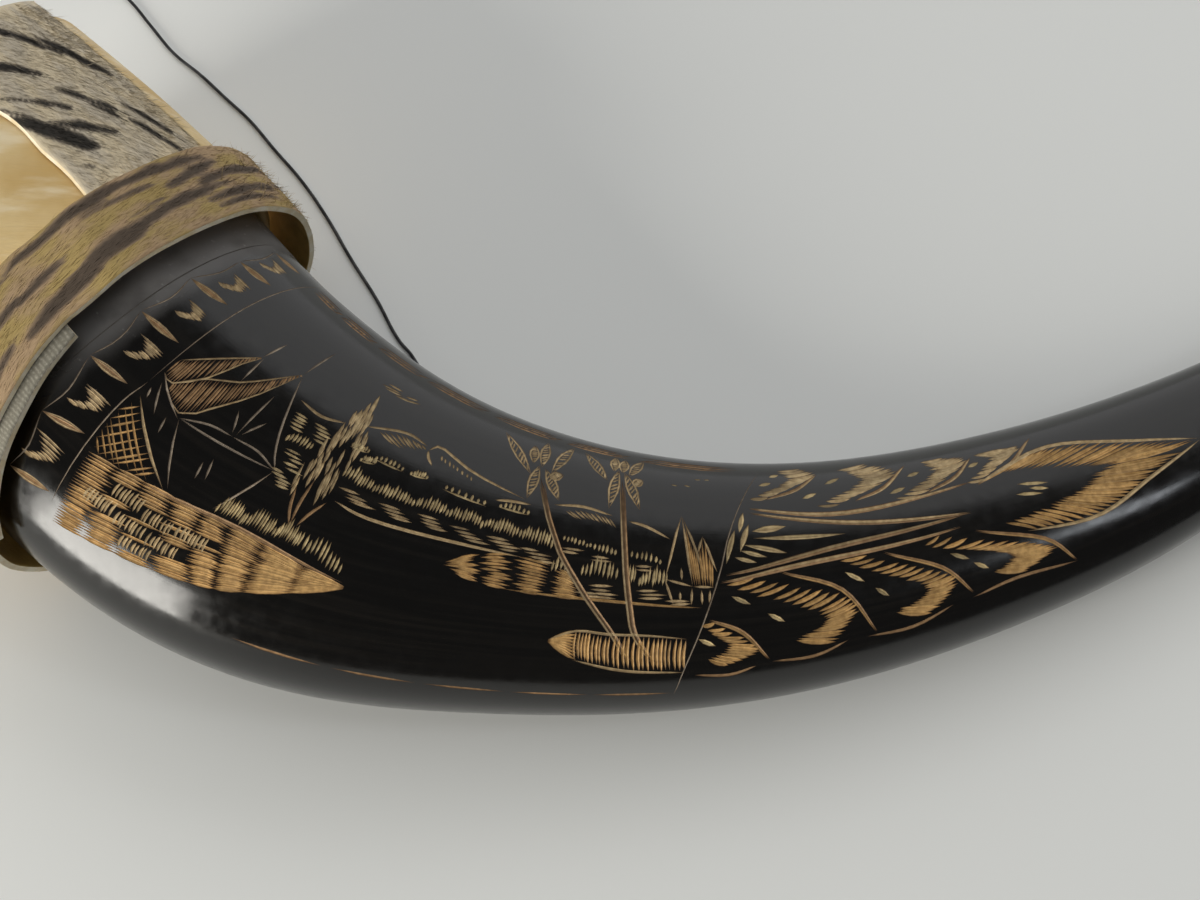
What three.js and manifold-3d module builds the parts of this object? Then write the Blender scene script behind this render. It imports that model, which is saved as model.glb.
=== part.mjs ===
// An engraved buffalo horn lying on its back, with the hide wrapping of its butt end and its hanging wire.
// Millimetres, +Z up. The origin is on the floor, under the middle of the horn and its wrapping.
//
// A place on the horn is given by s, the distance along the horn's axis from the butt, and by an angle
// around it in degrees: 0 is the concave edge, 90 the engraved front, 180 the convex edge, 270 the back.

import * as THREE from 'three';
import { ParametricGeometry } from 'three/addons/geometries/ParametricGeometry.js';
import { mergeVertices } from 'three/addons/utils/BufferGeometryUtils.js';
import Module from 'manifold-3d';

const wasm = await Module();
wasm.setup();

// The horn from butt to tip: axis x and y, half width, depth over width, and height of the underside
const STATIONS = [
  { x: -216.5, y: 39.0, halfWidth: 49.6, flatness: 0.60, lift: 7.8 },
  { x: -174.5, y: 1.0, halfWidth: 50.6, flatness: 0.60, lift: 6.9 },
  { x: -147.0, y: -34.5, halfWidth: 50.3, flatness: 0.61, lift: 5.5 },
  { x: -109.5, y: -59.0, halfWidth: 47.6, flatness: 0.63, lift: 2.0 },
  { x: -66.5, y: -70.0, halfWidth: 37.8, flatness: 0.66, lift: 0.1 },
  { x: -21.5, y: -75.0, halfWidth: 32.4, flatness: 0.69, lift: -0.5 },
  { x: 23.5, y: -70.5, halfWidth: 28.3, flatness: 0.71, lift: -0.5 },
  { x: 66.5, y: -58.0, halfWidth: 24.8, flatness: 0.73, lift: -0.3 },
  { x: 109.0, y: -41.5, halfWidth: 21.5, flatness: 0.75, lift: 0.8 },
  { x: 169.0, y: -5.0, halfWidth: 13.2, flatness: 0.80, lift: 4.0 },
  { x: 218.0, y: 44.5, halfWidth: 7.4, flatness: 0.86, lift: 9.0 },
  { x: 251.0, y: 105.5, halfWidth: 2.2, flatness: 0.95, lift: 15.0 },
];
const SECTION_POWER = 2.3;
const TIP_ROUNDING = 2;
const HORN_ROWS = 38;
const FRONT_COLUMNS = 20;
const BACK_ANGLES = [180, 205, 232, 258, 282, 308, 335];

// The rawhide cover over the butt
const COVER = { mouth: 70, crown: 6, inner: 0.6, outer: 4.5, endGap: 0.6 };
const COVER_ROWS = { crown: 3, outer: 6, inner: 3 };

// The hide straps: thickness, and gap between pieces that lie on each other
const STRAP = 1.5;
const GAP = 0.3;
const LONG_STRAP = { from: -4, to: 66, upper: 35, lower: 76, rows: 8 };
const RING_STRAP = { width: 23, mouth: 83, slant: 17, slantFrom: 95, slantTo: 330, rows: 56 };
const STRAP_END = { from: 96, to: 165, ahead: 3.5, behind: 12, inner: 3, rows: 12 };
const STAND_OFF = 0.8;

// The hanging wire lies on the floor between the horn's back and the back of the wrapped butt
const WIRE = { diameter: 1, height: 0.55, sides: 8, steps: 76 };
const WIRE_ROUTE = [
  [-73, -55, 0.75], [-75, -44], [-78, -31], [-82, -17], [-90, 0], [-94, 5], [-101, 18], [-109, 31],
  [-117, 45], [-125, 57], [-134, 68], [-142, 78], [-150, 86], [-158, 94], [-167, 102], [-175, 112],
  [-183, 122], [-192, 130], [-204, 134], [-217, 131], [-227, 122], [-231, 109], [-230, 96], [-226, 84],
  [-220, 73], [-215, 64, 0.8], [-210, 55, 1.8], [-204, 46, 3],
];

// The engraving tool leaves a V-shaped cut that starts and ends in a point
const CUT = { clearance: 0.35, tip: 0.12, depthOverWidth: 0.5, deepest: 0.75 };

const HORN_BLACK = new THREE.MeshStandardMaterial({ color: 0x15130f, roughness: 0.18, metalness: 0 });
const RAWHIDE = new THREE.MeshStandardMaterial({ color: 0xbba27a, roughness: 0.6, metalness: 0 });
const HAIRY_HIDE = new THREE.MeshStandardMaterial({ color: 0x8a7555, roughness: 0.9, metalness: 0 });
const GREY_HIDE = new THREE.MeshStandardMaterial({ color: 0x706a59, roughness: 0.9, metalness: 0 });
const DARK_WIRE = new THREE.MeshStandardMaterial({ color: 0x2b2b2c, roughness: 0.5, metalness: 0.6 });

// Small helpers
const LAST = STATIONS.length - 1;
const radians = THREE.MathUtils.degToRad;
const mix = THREE.MathUtils.lerp;
const between = (from, to, t) => [mix(from[0], to[0], t), mix(from[1], to[1], t)];

// A smooth step from 0 at a to 1 at b, where b may be the smaller one
function ramp(x, a, b) {
  const t = THREE.MathUtils.clamp((x - a) / (b - a), 0, 1);
  return t * t * (3 - 2 * t);
}

// A uniform cubic B-spline through one field of the stations, running out straight at both ends
function spline(field, u) {
  const value = (i) => {
    if (i < 0) return 2 * STATIONS[0][field] - STATIONS[1][field];
    if (i > LAST) return 2 * STATIONS[LAST][field] - STATIONS[LAST - 1][field];
    return STATIONS[i][field];
  };
  const i = Math.min(Math.floor(u), LAST - 1);
  const f = u - i;
  const first = (1 - f) ** 3 * value(i - 1);
  const second = (3 * f ** 3 - 6 * f ** 2 + 4) * value(i);
  const third = (-3 * f ** 3 + 3 * f ** 2 + 3 * f + 1) * value(i + 1);
  return (first + second + third + f ** 3 * value(i + 2)) / 6;
}

// The horn's axis seen from above
class HornAxis extends THREE.Curve {
  getPoint(t, target = new THREE.Vector3()) {
    return target.set(spline('x', t * LAST), spline('y', t * LAST), 0);
  }
}
const AXIS = new HornAxis();
AXIS.arcLengthDivisions = 800;
const HORN_LENGTH = AXIS.getLength();

// The upright section of the horn at distance s; before the butt and past the tip the axis runs on straight
function section(s) {
  const on = THREE.MathUtils.clamp(s, 0, HORN_LENGTH);
  const t = AXIS.getUtoTmapping(0, on);
  const heading = AXIS.getTangent(t);
  const centre = AXIS.getPoint(t).addScaledVector(heading, s - on);
  const halfWidth = spline('halfWidth', t * LAST);
  const halfDepth = halfWidth * spline('flatness', t * LAST);
  centre.z = halfDepth + spline('lift', t * LAST);
  return { centre, side: new THREE.Vector3(-heading.y, heading.x, 0), halfWidth, halfDepth };
}

// A point at a height over the horn's surface, drawn in to the axis by the factor size, never below the floor
function skin(s, angle, height = 0, size = 1) {
  const { centre, side, halfWidth, halfDepth } = section(s);
  const rounded = (x) => Math.sign(x) * Math.abs(x) ** (2 / SECTION_POWER);
  const across = rounded(Math.cos(radians(angle))) * (halfWidth + height) * size;
  const up = rounded(Math.sin(radians(angle))) * (halfDepth + height) * size;
  const point = centre.clone().addScaledVector(side, across);
  point.z = Math.max(point.z + up, 0);
  return point;
}

// The angle of one column of the horn's surface: close on the front, wider at the back
function columnAngle(column) {
  if (column <= FRONT_COLUMNS) return 180 * column / FRONT_COLUMNS;
  return BACK_ANGLES[column - FRONT_COLUMNS];
}
const COLUMNS = FRONT_COLUMNS + BACK_ANGLES.length;

// Closed surfaces: shared corners are merged, collapsed faces are dropped, and the faces point out
function closed(geometry) {
  geometry.deleteAttribute('normal');
  geometry.deleteAttribute('uv');
  const merged = mergeVertices(geometry, 1e-3);
  const corners = merged.getAttribute('position');
  const index = merged.getIndex().array;
  const faces = [];
  let volume = 0;
  const [a, b, c] = [new THREE.Vector3(), new THREE.Vector3(), new THREE.Vector3()];
  for (let i = 0; i < index.length; i += 3) {
    const [p, q, r] = [index[i], index[i + 1], index[i + 2]];
    if (p === q || q === r || r === p) continue;
    faces.push([p, q, r]);
    a.fromBufferAttribute(corners, p);
    b.fromBufferAttribute(corners, q);
    c.fromBufferAttribute(corners, r);
    volume += a.dot(b.cross(c));
  }
  const outward = volume > 0 ? faces : faces.map(([p, q, r]) => [p, r, q]);
  merged.setIndex(outward.flat());
  return merged;
}

// A closed surface over a grid of columns around and rows along; place gives each point
function lofted(columns, rows, place) {
  const at = (u, v, target) => target.copy(place(Math.round(u * columns) % columns, Math.round(v * rows)));
  return closed(new ParametricGeometry(at, columns, rows));
}

function solid(geometry) {
  const vertProperties = new Float32Array(geometry.getAttribute('position').array);
  const triVerts = new Uint32Array(geometry.getIndex().array);
  return new wasm.Manifold(new wasm.Mesh({ numProp: 3, vertProperties, triVerts }));
}

function surface(manifold) {
  const { vertProperties, triVerts } = manifold.getMesh();
  const geometry = new THREE.BufferGeometry();
  geometry.setAttribute('position', new THREE.BufferAttribute(vertProperties, 3));
  geometry.setIndex(new THREE.BufferAttribute(triVerts, 1));
  return geometry;
}

// The plain horn: a flat butt, rows of sections and a rounded tip
function plainHorn() {
  const lastRow = HORN_ROWS + 2;
  return lofted(COLUMNS, lastRow, (column, row) => {
    if (row === 0) return section(0).centre;
    if (row === lastRow) return section(HORN_LENGTH + TIP_ROUNDING).centre;
    return skin(HORN_LENGTH * (row - 1) / HORN_ROWS, columnAngle(column));
  });
}

// Size on the horn's surface of one millimetre along the axis and of one degree around it
function scaleAt([s, angle]) {
  const along = skin(s + 1, angle).distanceTo(skin(s - 1, angle)) / 2;
  const around = skin(s, angle + 1).distanceTo(skin(s, angle - 1)) / 2;
  return { along, around };
}

// A place on the horn that lies a few millimetres along and around from another one
function offsetFrom(place, along, around) {
  const scale = scaleAt(place);
  return [place[0] + along / scale.along, place[1] + around / scale.around];
}

// One cut of the engraving tool between two places, bowed sideways by bend
function cut(from, to, width, bend = 0, steps = 2) {
  const depth = Math.min(width * CUT.depthOverWidth, CUT.deepest);
  const middle = between(from, to, 0.5);
  const scale = scaleAt(middle);
  const run = [(to[0] - from[0]) * scale.along, (to[1] - from[1]) * scale.around];
  const length = Math.hypot(...run);
  const sideways = [-run[1] / length, run[0] / length];
  const place = (t, aside) => {
    const [s, angle] = between(from, to, t);
    const bow = bend * 4 * t * (1 - t) + aside;
    return [s + sideways[0] * bow / scale.along, angle + sideways[1] * bow / scale.around];
  };
  return solid(lofted(3, steps, (corner, row) => {
    const t = row / steps;
    if (row === 0 || row === steps) return skin(...place(t, 0), CUT.tip);
    const swell = Math.sin(Math.PI * t) ** 0.7;
    if (corner === 0) return skin(...place(t, 0), -depth * swell);
    const half = width * swell / 2 * (depth * swell + CUT.clearance) / (depth * swell);
    return skin(...place(t, corner === 1 ? half : -half), CUT.clearance);
  }));
}

// A row of cuts from points along one line to points along another
function hatch(firstLine, secondLine, count, width, bend = 0) {
  const cuts = [];
  for (let i = 0; i < count; i += 1) {
    const t = (i + 0.5) / count;
    cuts.push(cut(between(...firstLine, t), between(...secondLine, t), width, bend));
  }
  return cuts;
}

// The border band by the wrapping: a line around, with pairs of crescents and single leaves before it
function borderBand() {
  const line = { from: [110, 14], to: [106.5, 150], width: 0.9 };
  const crescents = [34, 58, 74, 89, 104, 124];
  const leaves = [46, 66, 81.5, 96.5, 114, 136];
  const cuts = [cut(line.from, line.to, line.width, 1.5, 10)];
  for (const angle of crescents) {
    for (const turn of [-1, 1]) {
      cuts.push(cut([94.5, angle + 3 * turn], [101, angle], 1.6, 1.2 * turn, 4));
    }
  }
  for (const angle of leaves) cuts.push(cut([92.5, angle], [101, angle + 3], 1.5));
  return cuts;
}

// A house with two swept roofs, its walls and a lattice panel beside it
function house() {
  const roofs = [
    { ridge: [[106, 87], [125, 62]], eave: [[110, 90], [123, 77]], cuts: 5 },
    { ridge: [[111, 89], [138, 54]], eave: [[117, 94], [134, 69]], cuts: 7 },
  ];
  const walls = [
    [[116, 94], [129, 91]], [[129, 91], [141, 93]], [[134, 70], [137, 84]], [[137, 84], [141, 93]],
    [[131, 78], [129, 90]], [[116, 95], [125, 110]], [[141, 94], [135, 109]],
  ];
  const panel = { left: [[106, 113], [105, 97]], right: [[124, 112], [106, 96]] };
  return [
    ...roofs.flatMap(({ ridge, eave, cuts }) => hatch(ridge, eave, cuts, 1.1, 0.6)),
    ...walls.map(([from, to]) => cut(from, to, 0.7)),
    ...hatch(panel.left, panel.right, 4, 0.7),
    ...hatch([[105, 104], [120, 111]], [[107, 114], [122, 113]], 3, 0.7),
  ];
}

// The hatched bank before the house, with a fringe of grass along its upper side
function bank() {
  const strips = [
    { left: [[107, 116], [108, 140]], right: [[130, 113], [128, 133]], cuts: 7 },
    { left: [[131, 112], [129, 134]], right: [[162, 116], [145, 131]], cuts: 6 },
  ];
  return [
    ...strips.flatMap(({ left, right, cuts }) => hatch(left, right, cuts, 1.2, -0.5)),
    ...hatch([[136, 108], [160, 109]], [[138, 112], [162, 114]], 6, 0.8),
  ];
}

// A spiky tree: a trunk with pairs of boughs that grow shorter towards the top
function tree() {
  const top = [156, 63];
  const foot = [149, 103];
  const pairs = 5;
  const cuts = [cut(top, foot, 0.9, 0.8, 4)];
  for (let i = 0; i < pairs; i += 1) {
    const t = 0.2 + 0.6 * i / (pairs - 1);
    const reach = 2.5 + 4 * t;
    const start = between(top, foot, t);
    for (const side of [-1, 1]) cuts.push(cut(start, offsetFrom(start, side * reach, -0.8 * reach), 0.9));
  }
  return cuts;
}

// The hills on the skyline, and the shore grass with water lines below it
function hillsAndShore() {
  const hills = [
    [[139, 74], [150, 74]], [[156, 72], [172, 71]], [[174, 68], [199, 77]], [[207, 77], [219, 78]],
    [[226, 80], [236, 84]],
  ];
  const shores = [
    { line: [[156, 84], [206, 91]], tufts: 11, reach: 4 },
    { line: [[207, 92], [232, 101]], tufts: 5, reach: 4 },
    { line: [[184, 103], [243, 109]], tufts: 9, reach: 3.5 },
  ];
  const cuts = hills.map(([from, to]) => cut(from, to, 0.7, -0.8, 4));
  for (const { line, tufts, reach } of shores) {
    const feet = line.map((place) => offsetFrom(place, 1, reach));
    cuts.push(...hatch(line, feet, tufts, 1));
    cuts.push(cut(offsetFrom(line[0], 2, reach + 2), offsetFrom(line[1], -2, reach + 2), 0.8, 0, 6));
  }
  return cuts;
}

// Two leaning palms on an island, each with a fan of fronds
function palms() {
  const trees = [
    { crown: [202, 66], foot: [226, 133], bend: -3 },
    { crown: [222, 62], foot: [231, 136], bend: -1.5 },
  ];
  const fronds = [-150, -120, -90, -60, -30];
  const frondLength = 7;
  const cuts = [];
  for (const { crown, foot, bend } of trees) {
    cuts.push(cut(crown, foot, 1, bend, 6));
    for (const direction of fronds) {
      const along = frondLength * Math.cos(radians(direction));
      const around = frondLength * Math.sin(radians(direction));
      cuts.push(cut(crown, offsetFrom(crown, along, around), 1.5, along > 0 ? 0.8 : -0.8));
    }
  }
  cuts.push(...hatch([[210, 126], [212, 138]], [[237, 129], [236, 141]], 4, 1.2, 1));
  return cuts;
}

// A small hut with a steep roof
function hut() {
  const apex = [239, 76];
  const eave = [[235, 98], [247, 97]];
  return [
    ...hatch([apex, apex], eave, 4, 0.9),
    cut([236, 98], [238, 109], 0.7),
    cut([246, 97], [246, 108], 0.7),
    cut([238, 109], [246, 108], 0.7),
  ];
}

// The leaf scroll past the dividing line: two rows of crescents on branching stems, and one large end leaf
function leafScroll() {
  const upper = [
    { tail: [258, 60], tip: [276, 50] }, { tail: [276, 66], tip: [300, 52] },
    { tail: [298, 70], tip: [319, 53] }, { tail: [314, 71], tip: [336, 52] },
  ];
  const lower = [
    { tail: [247, 116], tip: [257, 140] }, { tail: [264, 111], tip: [282, 136] },
    { tail: [288, 105], tip: [307, 130] }, { tail: [312, 104], tip: [333, 131] },
  ];
  const stems = [
    [[257, 71], [334, 65]], [[257, 74], [311, 88]], [[249, 97], [310, 90]], [[248, 101], [318, 98]],
  ];
  const sprigs = [
    [[257, 78], [266, 80]], [[257, 84], [279, 86]], [[254, 88], [264, 90]], [[252, 92], [259, 92]],
  ];
  const cuts = [];
  upper.forEach(({ tail, tip }) => cuts.push(cut(tail, tip, 3, -2, 5)));
  lower.forEach(({ tail, tip }) => cuts.push(cut(tail, tip, 3.4, -4, 5)));
  stems.forEach(([from, to]) => cuts.push(cut(from, to, 0.8, 0.8, 6)));
  sprigs.forEach(([from, to]) => cuts.push(cut(from, to, 1.3)));
  const leaf = { heel: [318, 76], heelBelow: [319, 97], point: [380, 92] };
  cuts.push(cut(leaf.heel, leaf.point, 3.4, -4.5, 8));
  cuts.push(cut(leaf.heelBelow, leaf.point, 3.4, 4, 8));
  cuts.push(...hatch([[327, 82], [330, 88]], [[335, 82], [338, 87]], 3, 0.9));
  return cuts;
}

// The line across the horn between picture and scroll, and the lines along both edges of the picture
function frameLines() {
  return [
    cut([260.5, 42], [237, 160], 0.8, -1.5, 10),
    cut([114, 28], [257, 38], 0.8, -3, 10),
    cut([150, 153], [236, 160], 0.8, 1, 8),
  ];
}

function engravedHorn() {
  const cuts = [
    borderBand(), house(), bank(), tree(), hillsAndShore(), palms(), hut(), leafScroll(), frameLines(),
  ].flat();
  return surface(cuts.reduce((horn, groove) => horn.subtract(groove), solid(plainHorn())));
}

// The rawhide cover: from its crown over the butt, out to the mouth and back along the inside
function rawhideCover() {
  const crownEnd = COVER_ROWS.crown;
  const mouthRow = crownEnd + COVER_ROWS.outer;
  const innerEnd = mouthRow + 1 + COVER_ROWS.inner;
  return lofted(COLUMNS, innerEnd + 1, (column, row) => {
    const angle = columnAngle(column);
    if (row === 0) return section(-COVER.crown).centre;
    if (row < crownEnd) {
      const turn = Math.PI / 2 * row / crownEnd;
      return skin(-COVER.crown * Math.cos(turn), angle, COVER.outer, Math.sin(turn));
    }
    if (row <= mouthRow) return skin(COVER.mouth * (row - crownEnd) / COVER_ROWS.outer, angle, COVER.outer);
    if (row <= innerEnd) {
      const s = mix(COVER.mouth, -COVER.endGap, (row - mouthRow - 1) / COVER_ROWS.inner);
      return skin(s, angle, COVER.inner);
    }
    return section(-COVER.endGap).centre;
  });
}

// A flat strap: place gives a point from the share of the run, the share of the width and the height in it
function strap(rows, widthSteps, place, ring = false) {
  const columns = 2 * (widthSteps + 1);
  const across = (column) => (column <= widthSteps ? column : columns - 1 - column) / widthSteps;
  const height = (column) => (column <= widthSteps ? 0 : STRAP);
  const corner = (run, column) => place(run, across(column), height(column));
  if (ring) return lofted(columns, rows, (column, row) => corner((row % rows) / rows, column));
  return lofted(columns, rows + 2, (column, row) => {
    if (row === 0) return place(0, 0.5, STRAP / 2);
    if (row === rows + 2) return place(1, 0.5, STRAP / 2);
    return corner((row - 1) / rows, column);
  });
}

// Where the ring strap's mouth edge runs: square to the axis in front, slanting towards the tip at the back
function mouthEdge(angle) {
  const t = (angle - RING_STRAP.slantFrom) / (RING_STRAP.slantTo - RING_STRAP.slantFrom);
  return RING_STRAP.mouth + (t > 0 && t < 1 ? RING_STRAP.slant * Math.sin(Math.PI * t) : 0);
}

// Height of the ring strap's inner face over the horn: it climbs over the long strap and stands off past it
function ringHeight(angle) {
  const turned = angle > 180 ? angle - 360 : angle;
  const over = (STRAP + GAP) * ramp(turned, 94, 82) * ramp(turned, -85, -35);
  const loose = STAND_OFF * ramp(turned, 55, 15) * ramp(turned, -70, -25);
  return COVER.outer + GAP + over + loose;
}

function longStrap() {
  return strap(LONG_STRAP.rows, 5, (run, across, height) => {
    const s = mix(LONG_STRAP.from, LONG_STRAP.to, run);
    return skin(s, mix(LONG_STRAP.upper, LONG_STRAP.lower, across), COVER.outer + GAP + height);
  });
}

function ringStrap() {
  return strap(RING_STRAP.rows, 2, (run, across, height) => {
    const angle = 360 * run;
    return skin(mouthEdge(angle) - RING_STRAP.width * across, angle, ringHeight(angle) + height);
  }, true);
}

function strapEnd() {
  return strap(STRAP_END.rows, 2, (run, across, height) => {
    const angle = mix(STRAP_END.from, STRAP_END.to, run);
    const s = mouthEdge(angle) + mix(STRAP_END.ahead, -STRAP_END.behind, across);
    return skin(s, angle, STRAP_END.inner + height);
  });
}

function hangingWire() {
  const points = WIRE_ROUTE.map(([x, y, z = WIRE.height]) => new THREE.Vector3(x, y, z));
  const outline = new THREE.Shape();
  for (let i = 0; i < WIRE.sides; i += 1) {
    const turn = 2 * Math.PI * i / WIRE.sides;
    const corner = [WIRE.diameter / 2 * Math.cos(turn), WIRE.diameter / 2 * Math.sin(turn)];
    if (i === 0) outline.moveTo(...corner);
    else outline.lineTo(...corner);
  }
  outline.closePath();
  const extrudePath = new THREE.CatmullRomCurve3(points);
  return closed(new THREE.ExtrudeGeometry(outline, { extrudePath, steps: WIRE.steps }));
}

function piece(name, geometry, material) {
  const mesh = new THREE.Mesh(geometry, material);
  mesh.name = name;
  return mesh;
}

const group = new THREE.Group();
group.add(
  piece('horn', engravedHorn(), HORN_BLACK),
  piece('rawhide_cover', rawhideCover(), RAWHIDE),
  piece('hide_strap_long', longStrap(), HAIRY_HIDE),
  piece('hide_strap_ring', ringStrap(), HAIRY_HIDE),
  piece('hide_strap_end', strapEnd(), GREY_HIDE),
  piece('hanging_wire', hangingWire(), DARK_WIRE),
);

export default group;
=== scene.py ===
"""An engraved buffalo horn lying on its back, with its hide wrapping and its hanging wire.

A place on the horn is given by s, the distance along its axis from the butt in millimetres, and by an
angle around it in degrees: 0 is the concave edge, 90 the engraved front, 180 the convex edge and 270
the back. Sizes are millimetres, and meshes are in metres.
"""

import logging
import math
import random
from collections.abc import Callable, Sequence
from dataclasses import astuple, dataclass
from enum import Enum

import bmesh
import bpy
import numpy as np
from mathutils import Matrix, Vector, noise
from mathutils.geometry import delaunay_2d_cdt


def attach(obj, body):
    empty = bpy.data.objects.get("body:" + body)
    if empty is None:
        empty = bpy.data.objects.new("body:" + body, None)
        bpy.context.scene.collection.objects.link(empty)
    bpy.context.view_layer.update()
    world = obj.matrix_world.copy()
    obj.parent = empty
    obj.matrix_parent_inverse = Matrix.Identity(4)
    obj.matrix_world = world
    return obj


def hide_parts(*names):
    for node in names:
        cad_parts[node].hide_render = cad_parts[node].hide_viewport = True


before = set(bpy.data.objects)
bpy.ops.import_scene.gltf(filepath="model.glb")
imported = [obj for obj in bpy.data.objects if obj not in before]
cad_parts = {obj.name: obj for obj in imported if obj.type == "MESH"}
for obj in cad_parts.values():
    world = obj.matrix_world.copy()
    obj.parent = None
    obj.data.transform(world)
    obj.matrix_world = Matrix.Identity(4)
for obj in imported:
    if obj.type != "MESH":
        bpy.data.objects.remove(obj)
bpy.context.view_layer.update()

LOG = logging.getLogger("horn")
MM = 0.001
BODY = "root"
MERGE_DISTANCE = 2e-6
HORN_UV = "horn"
BAKE_UV = "OFBake"

Array = np.ndarray
Place = tuple[float, float]
Path = Callable[[Array], Array]
Colour = tuple[float, float, float]


def smooth_step(x: Array, start: float, end: float) -> Array:
    """A smooth rise from 0 at start to 1 at end, where end may be the smaller one."""
    t = np.clip((np.asarray(x, float) - start) / (end - start), 0, 1)
    return t * t * (3 - 2 * t)


def mix(first: float, second: float, t: float) -> float:
    """The value at share t of the way from first to second."""
    return first + (second - first) * t


def ripple(x: Array, y: Array, seed: float) -> Array:
    """Smooth random waves from about -1 to 1.

    Args:
        x: First coordinate, in wave lengths.
        y: Second coordinate, in wave lengths.
        seed: Which of many wave fields to read.

    Returns:
        One value for each pair of coordinates.
    """
    flat = zip(np.ravel(x), np.ravel(y))
    values = [noise.noise(Vector((a, b, seed))) for a, b in flat]
    return np.array(values).reshape(np.shape(x))


# The shape of the horn

@dataclass(frozen=True)
class Station:
    """One station of the horn's axis: place, half width, depth over width and height of the underside."""

    x: float
    y: float
    half_width: float
    flatness: float
    lift: float


STATIONS = (
    Station(-216.5, 39.0, 49.6, 0.60, 7.8),
    Station(-174.5, 1.0, 50.6, 0.60, 6.9),
    Station(-147.0, -34.5, 50.3, 0.61, 5.5),
    Station(-109.5, -59.0, 47.6, 0.63, 2.0),
    Station(-66.5, -70.0, 37.8, 0.66, 0.1),
    Station(-21.5, -75.0, 32.4, 0.69, -0.5),
    Station(23.5, -70.5, 28.3, 0.71, -0.5),
    Station(66.5, -58.0, 24.8, 0.73, -0.3),
    Station(109.0, -41.5, 21.5, 0.75, 0.8),
    Station(169.0, -5.0, 13.2, 0.80, 4.0),
    Station(218.0, 44.5, 7.4, 0.86, 9.0),
    Station(251.0, 105.5, 2.2, 0.95, 15.0),
)


class HornForm:
    """The horn's smooth surface, worked out from its stations."""

    SECTION_POWER = 2.3
    SAMPLES = 8001
    NUDGE = 0.3

    def __init__(self, stations: Sequence[Station]) -> None:
        """Sample the axis and its sizes along a cubic B-spline that runs out straight at both ends."""
        rows = np.array([astuple(station) for station in stations])
        knots = np.vstack([2 * rows[0] - rows[1], rows, 2 * rows[-1] - rows[-2]])
        last = len(rows) - 1
        u = np.linspace(0, last, self.SAMPLES)
        i = np.minimum(u.astype(int), last - 1)
        f = (u - i)[:, None]
        first = (1 - f) ** 3 * knots[i]
        second = (3 * f ** 3 - 6 * f ** 2 + 4) * knots[i + 1]
        third = (-3 * f ** 3 + 3 * f ** 2 + 3 * f + 1) * knots[i + 2]
        self._fields = (first + second + third + f ** 3 * knots[i + 3]) / 6
        heading = np.gradient(self._fields[:, :2], axis=0)
        self._heading = heading / np.linalg.norm(heading, axis=1)[:, None]
        steps = np.linalg.norm(np.diff(self._fields[:, :2], axis=0), axis=1)
        self._s = np.concatenate([[0], np.cumsum(steps)])
        self.length = float(self._s[-1])

    def skin(self, s: Array, angle: Array, height: Array = 0.0, size: Array = 1.0) -> Array:
        """Points over the horn's surface, never below the floor.

        Args:
            s: Distances along the axis.
            angle: Angles around it.
            height: Height over the surface.
            size: Factor that draws the section in towards the axis.

        Returns:
            Points in millimetres, one row of three for each place.
        """
        given = (np.asarray(value, float) for value in (s, angle, height, size))
        s, angle, height, size = np.broadcast_arrays(*given)
        on = np.clip(s, 0, self.length)
        x, y, half_width, flatness, lift = (np.interp(on, self._s, column) for column in self._fields.T)
        head_x, head_y = (np.interp(on, self._s, column) for column in self._heading.T)
        turn = np.radians(angle)
        across = self._rounded(np.cos(turn)) * (half_width + height) * size
        up = self._rounded(np.sin(turn)) * (half_width * flatness + height) * size
        x = x + head_x * (s - on) - head_y * across
        y = y + head_y * (s - on) + head_x * across
        z = half_width * flatness + lift + up
        return np.stack([x, y, np.maximum(z, 0)], axis=-1)

    def _rounded(self, x: Array) -> Array:
        """A cosine or sine bent to the horn's squarish section."""
        return np.sign(x) * np.abs(x) ** (2 / self.SECTION_POWER)

    def normal(self, s: Array, angle: Array) -> Array:
        """Unit normals of the surface, pointing out of the horn."""
        along = self.skin(s + self.NUDGE, angle) - self.skin(s - self.NUDGE, angle)
        around = self.skin(s, angle + self.NUDGE) - self.skin(s, angle - self.NUDGE)
        cross = np.cross(around, along)
        return cross / np.maximum(np.linalg.norm(cross, axis=-1), 1e-9)[..., None]

    def scale(self, s: Array, angle: Array) -> tuple[Array, Array]:
        """Size on the surface of one millimetre along the axis and of one degree around it."""
        along = self.skin(s + 1, angle) - self.skin(s - 1, angle)
        around = self.skin(s, angle + 1) - self.skin(s, angle - 1)
        return np.linalg.norm(along, axis=-1) / 2, np.linalg.norm(around, axis=-1) / 2


# The engraving

class Tint(Enum):
    """What a cut shows: the colours of the horn under its black skin."""

    TAN = (0.46, 0.285, 0.11)
    SAND = (0.43, 0.325, 0.18)
    STRAW = (0.49, 0.39, 0.21)
    RUSSET = (0.32, 0.20, 0.10)
    BROWN = (0.17, 0.105, 0.055)
    PALE = (0.34, 0.285, 0.22)
    SCRATCH = (0.13, 0.125, 0.12)


@dataclass
class Stroke:
    """One cut of the graver: places along it, one millimetre aside at each, half widths and colour."""

    line: Array
    aside: Array
    half: Array
    colour: Colour


def arc(*places: Place) -> Path:
    """A path through some places: straight through two of them, and smoothly bowed through more."""
    points = np.array(places, float)
    knots = np.vstack([2 * points[0] - points[1], points, 2 * points[-1] - points[-2]])
    last = len(points) - 1

    def along(t: Array) -> Array:
        """The places at shares of the path."""
        u = np.clip(np.asarray(t, float), 0, 1) * last
        i = np.minimum(u.astype(int), last - 1)
        f = (u - i)[..., None]
        a, b, c, d = (knots[i + step] for step in range(4))
        return b + f / 2 * (c - a + f * (2 * a - 5 * b + 4 * c - d + f * (3 * (b - c) + d - a)))

    return along


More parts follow.
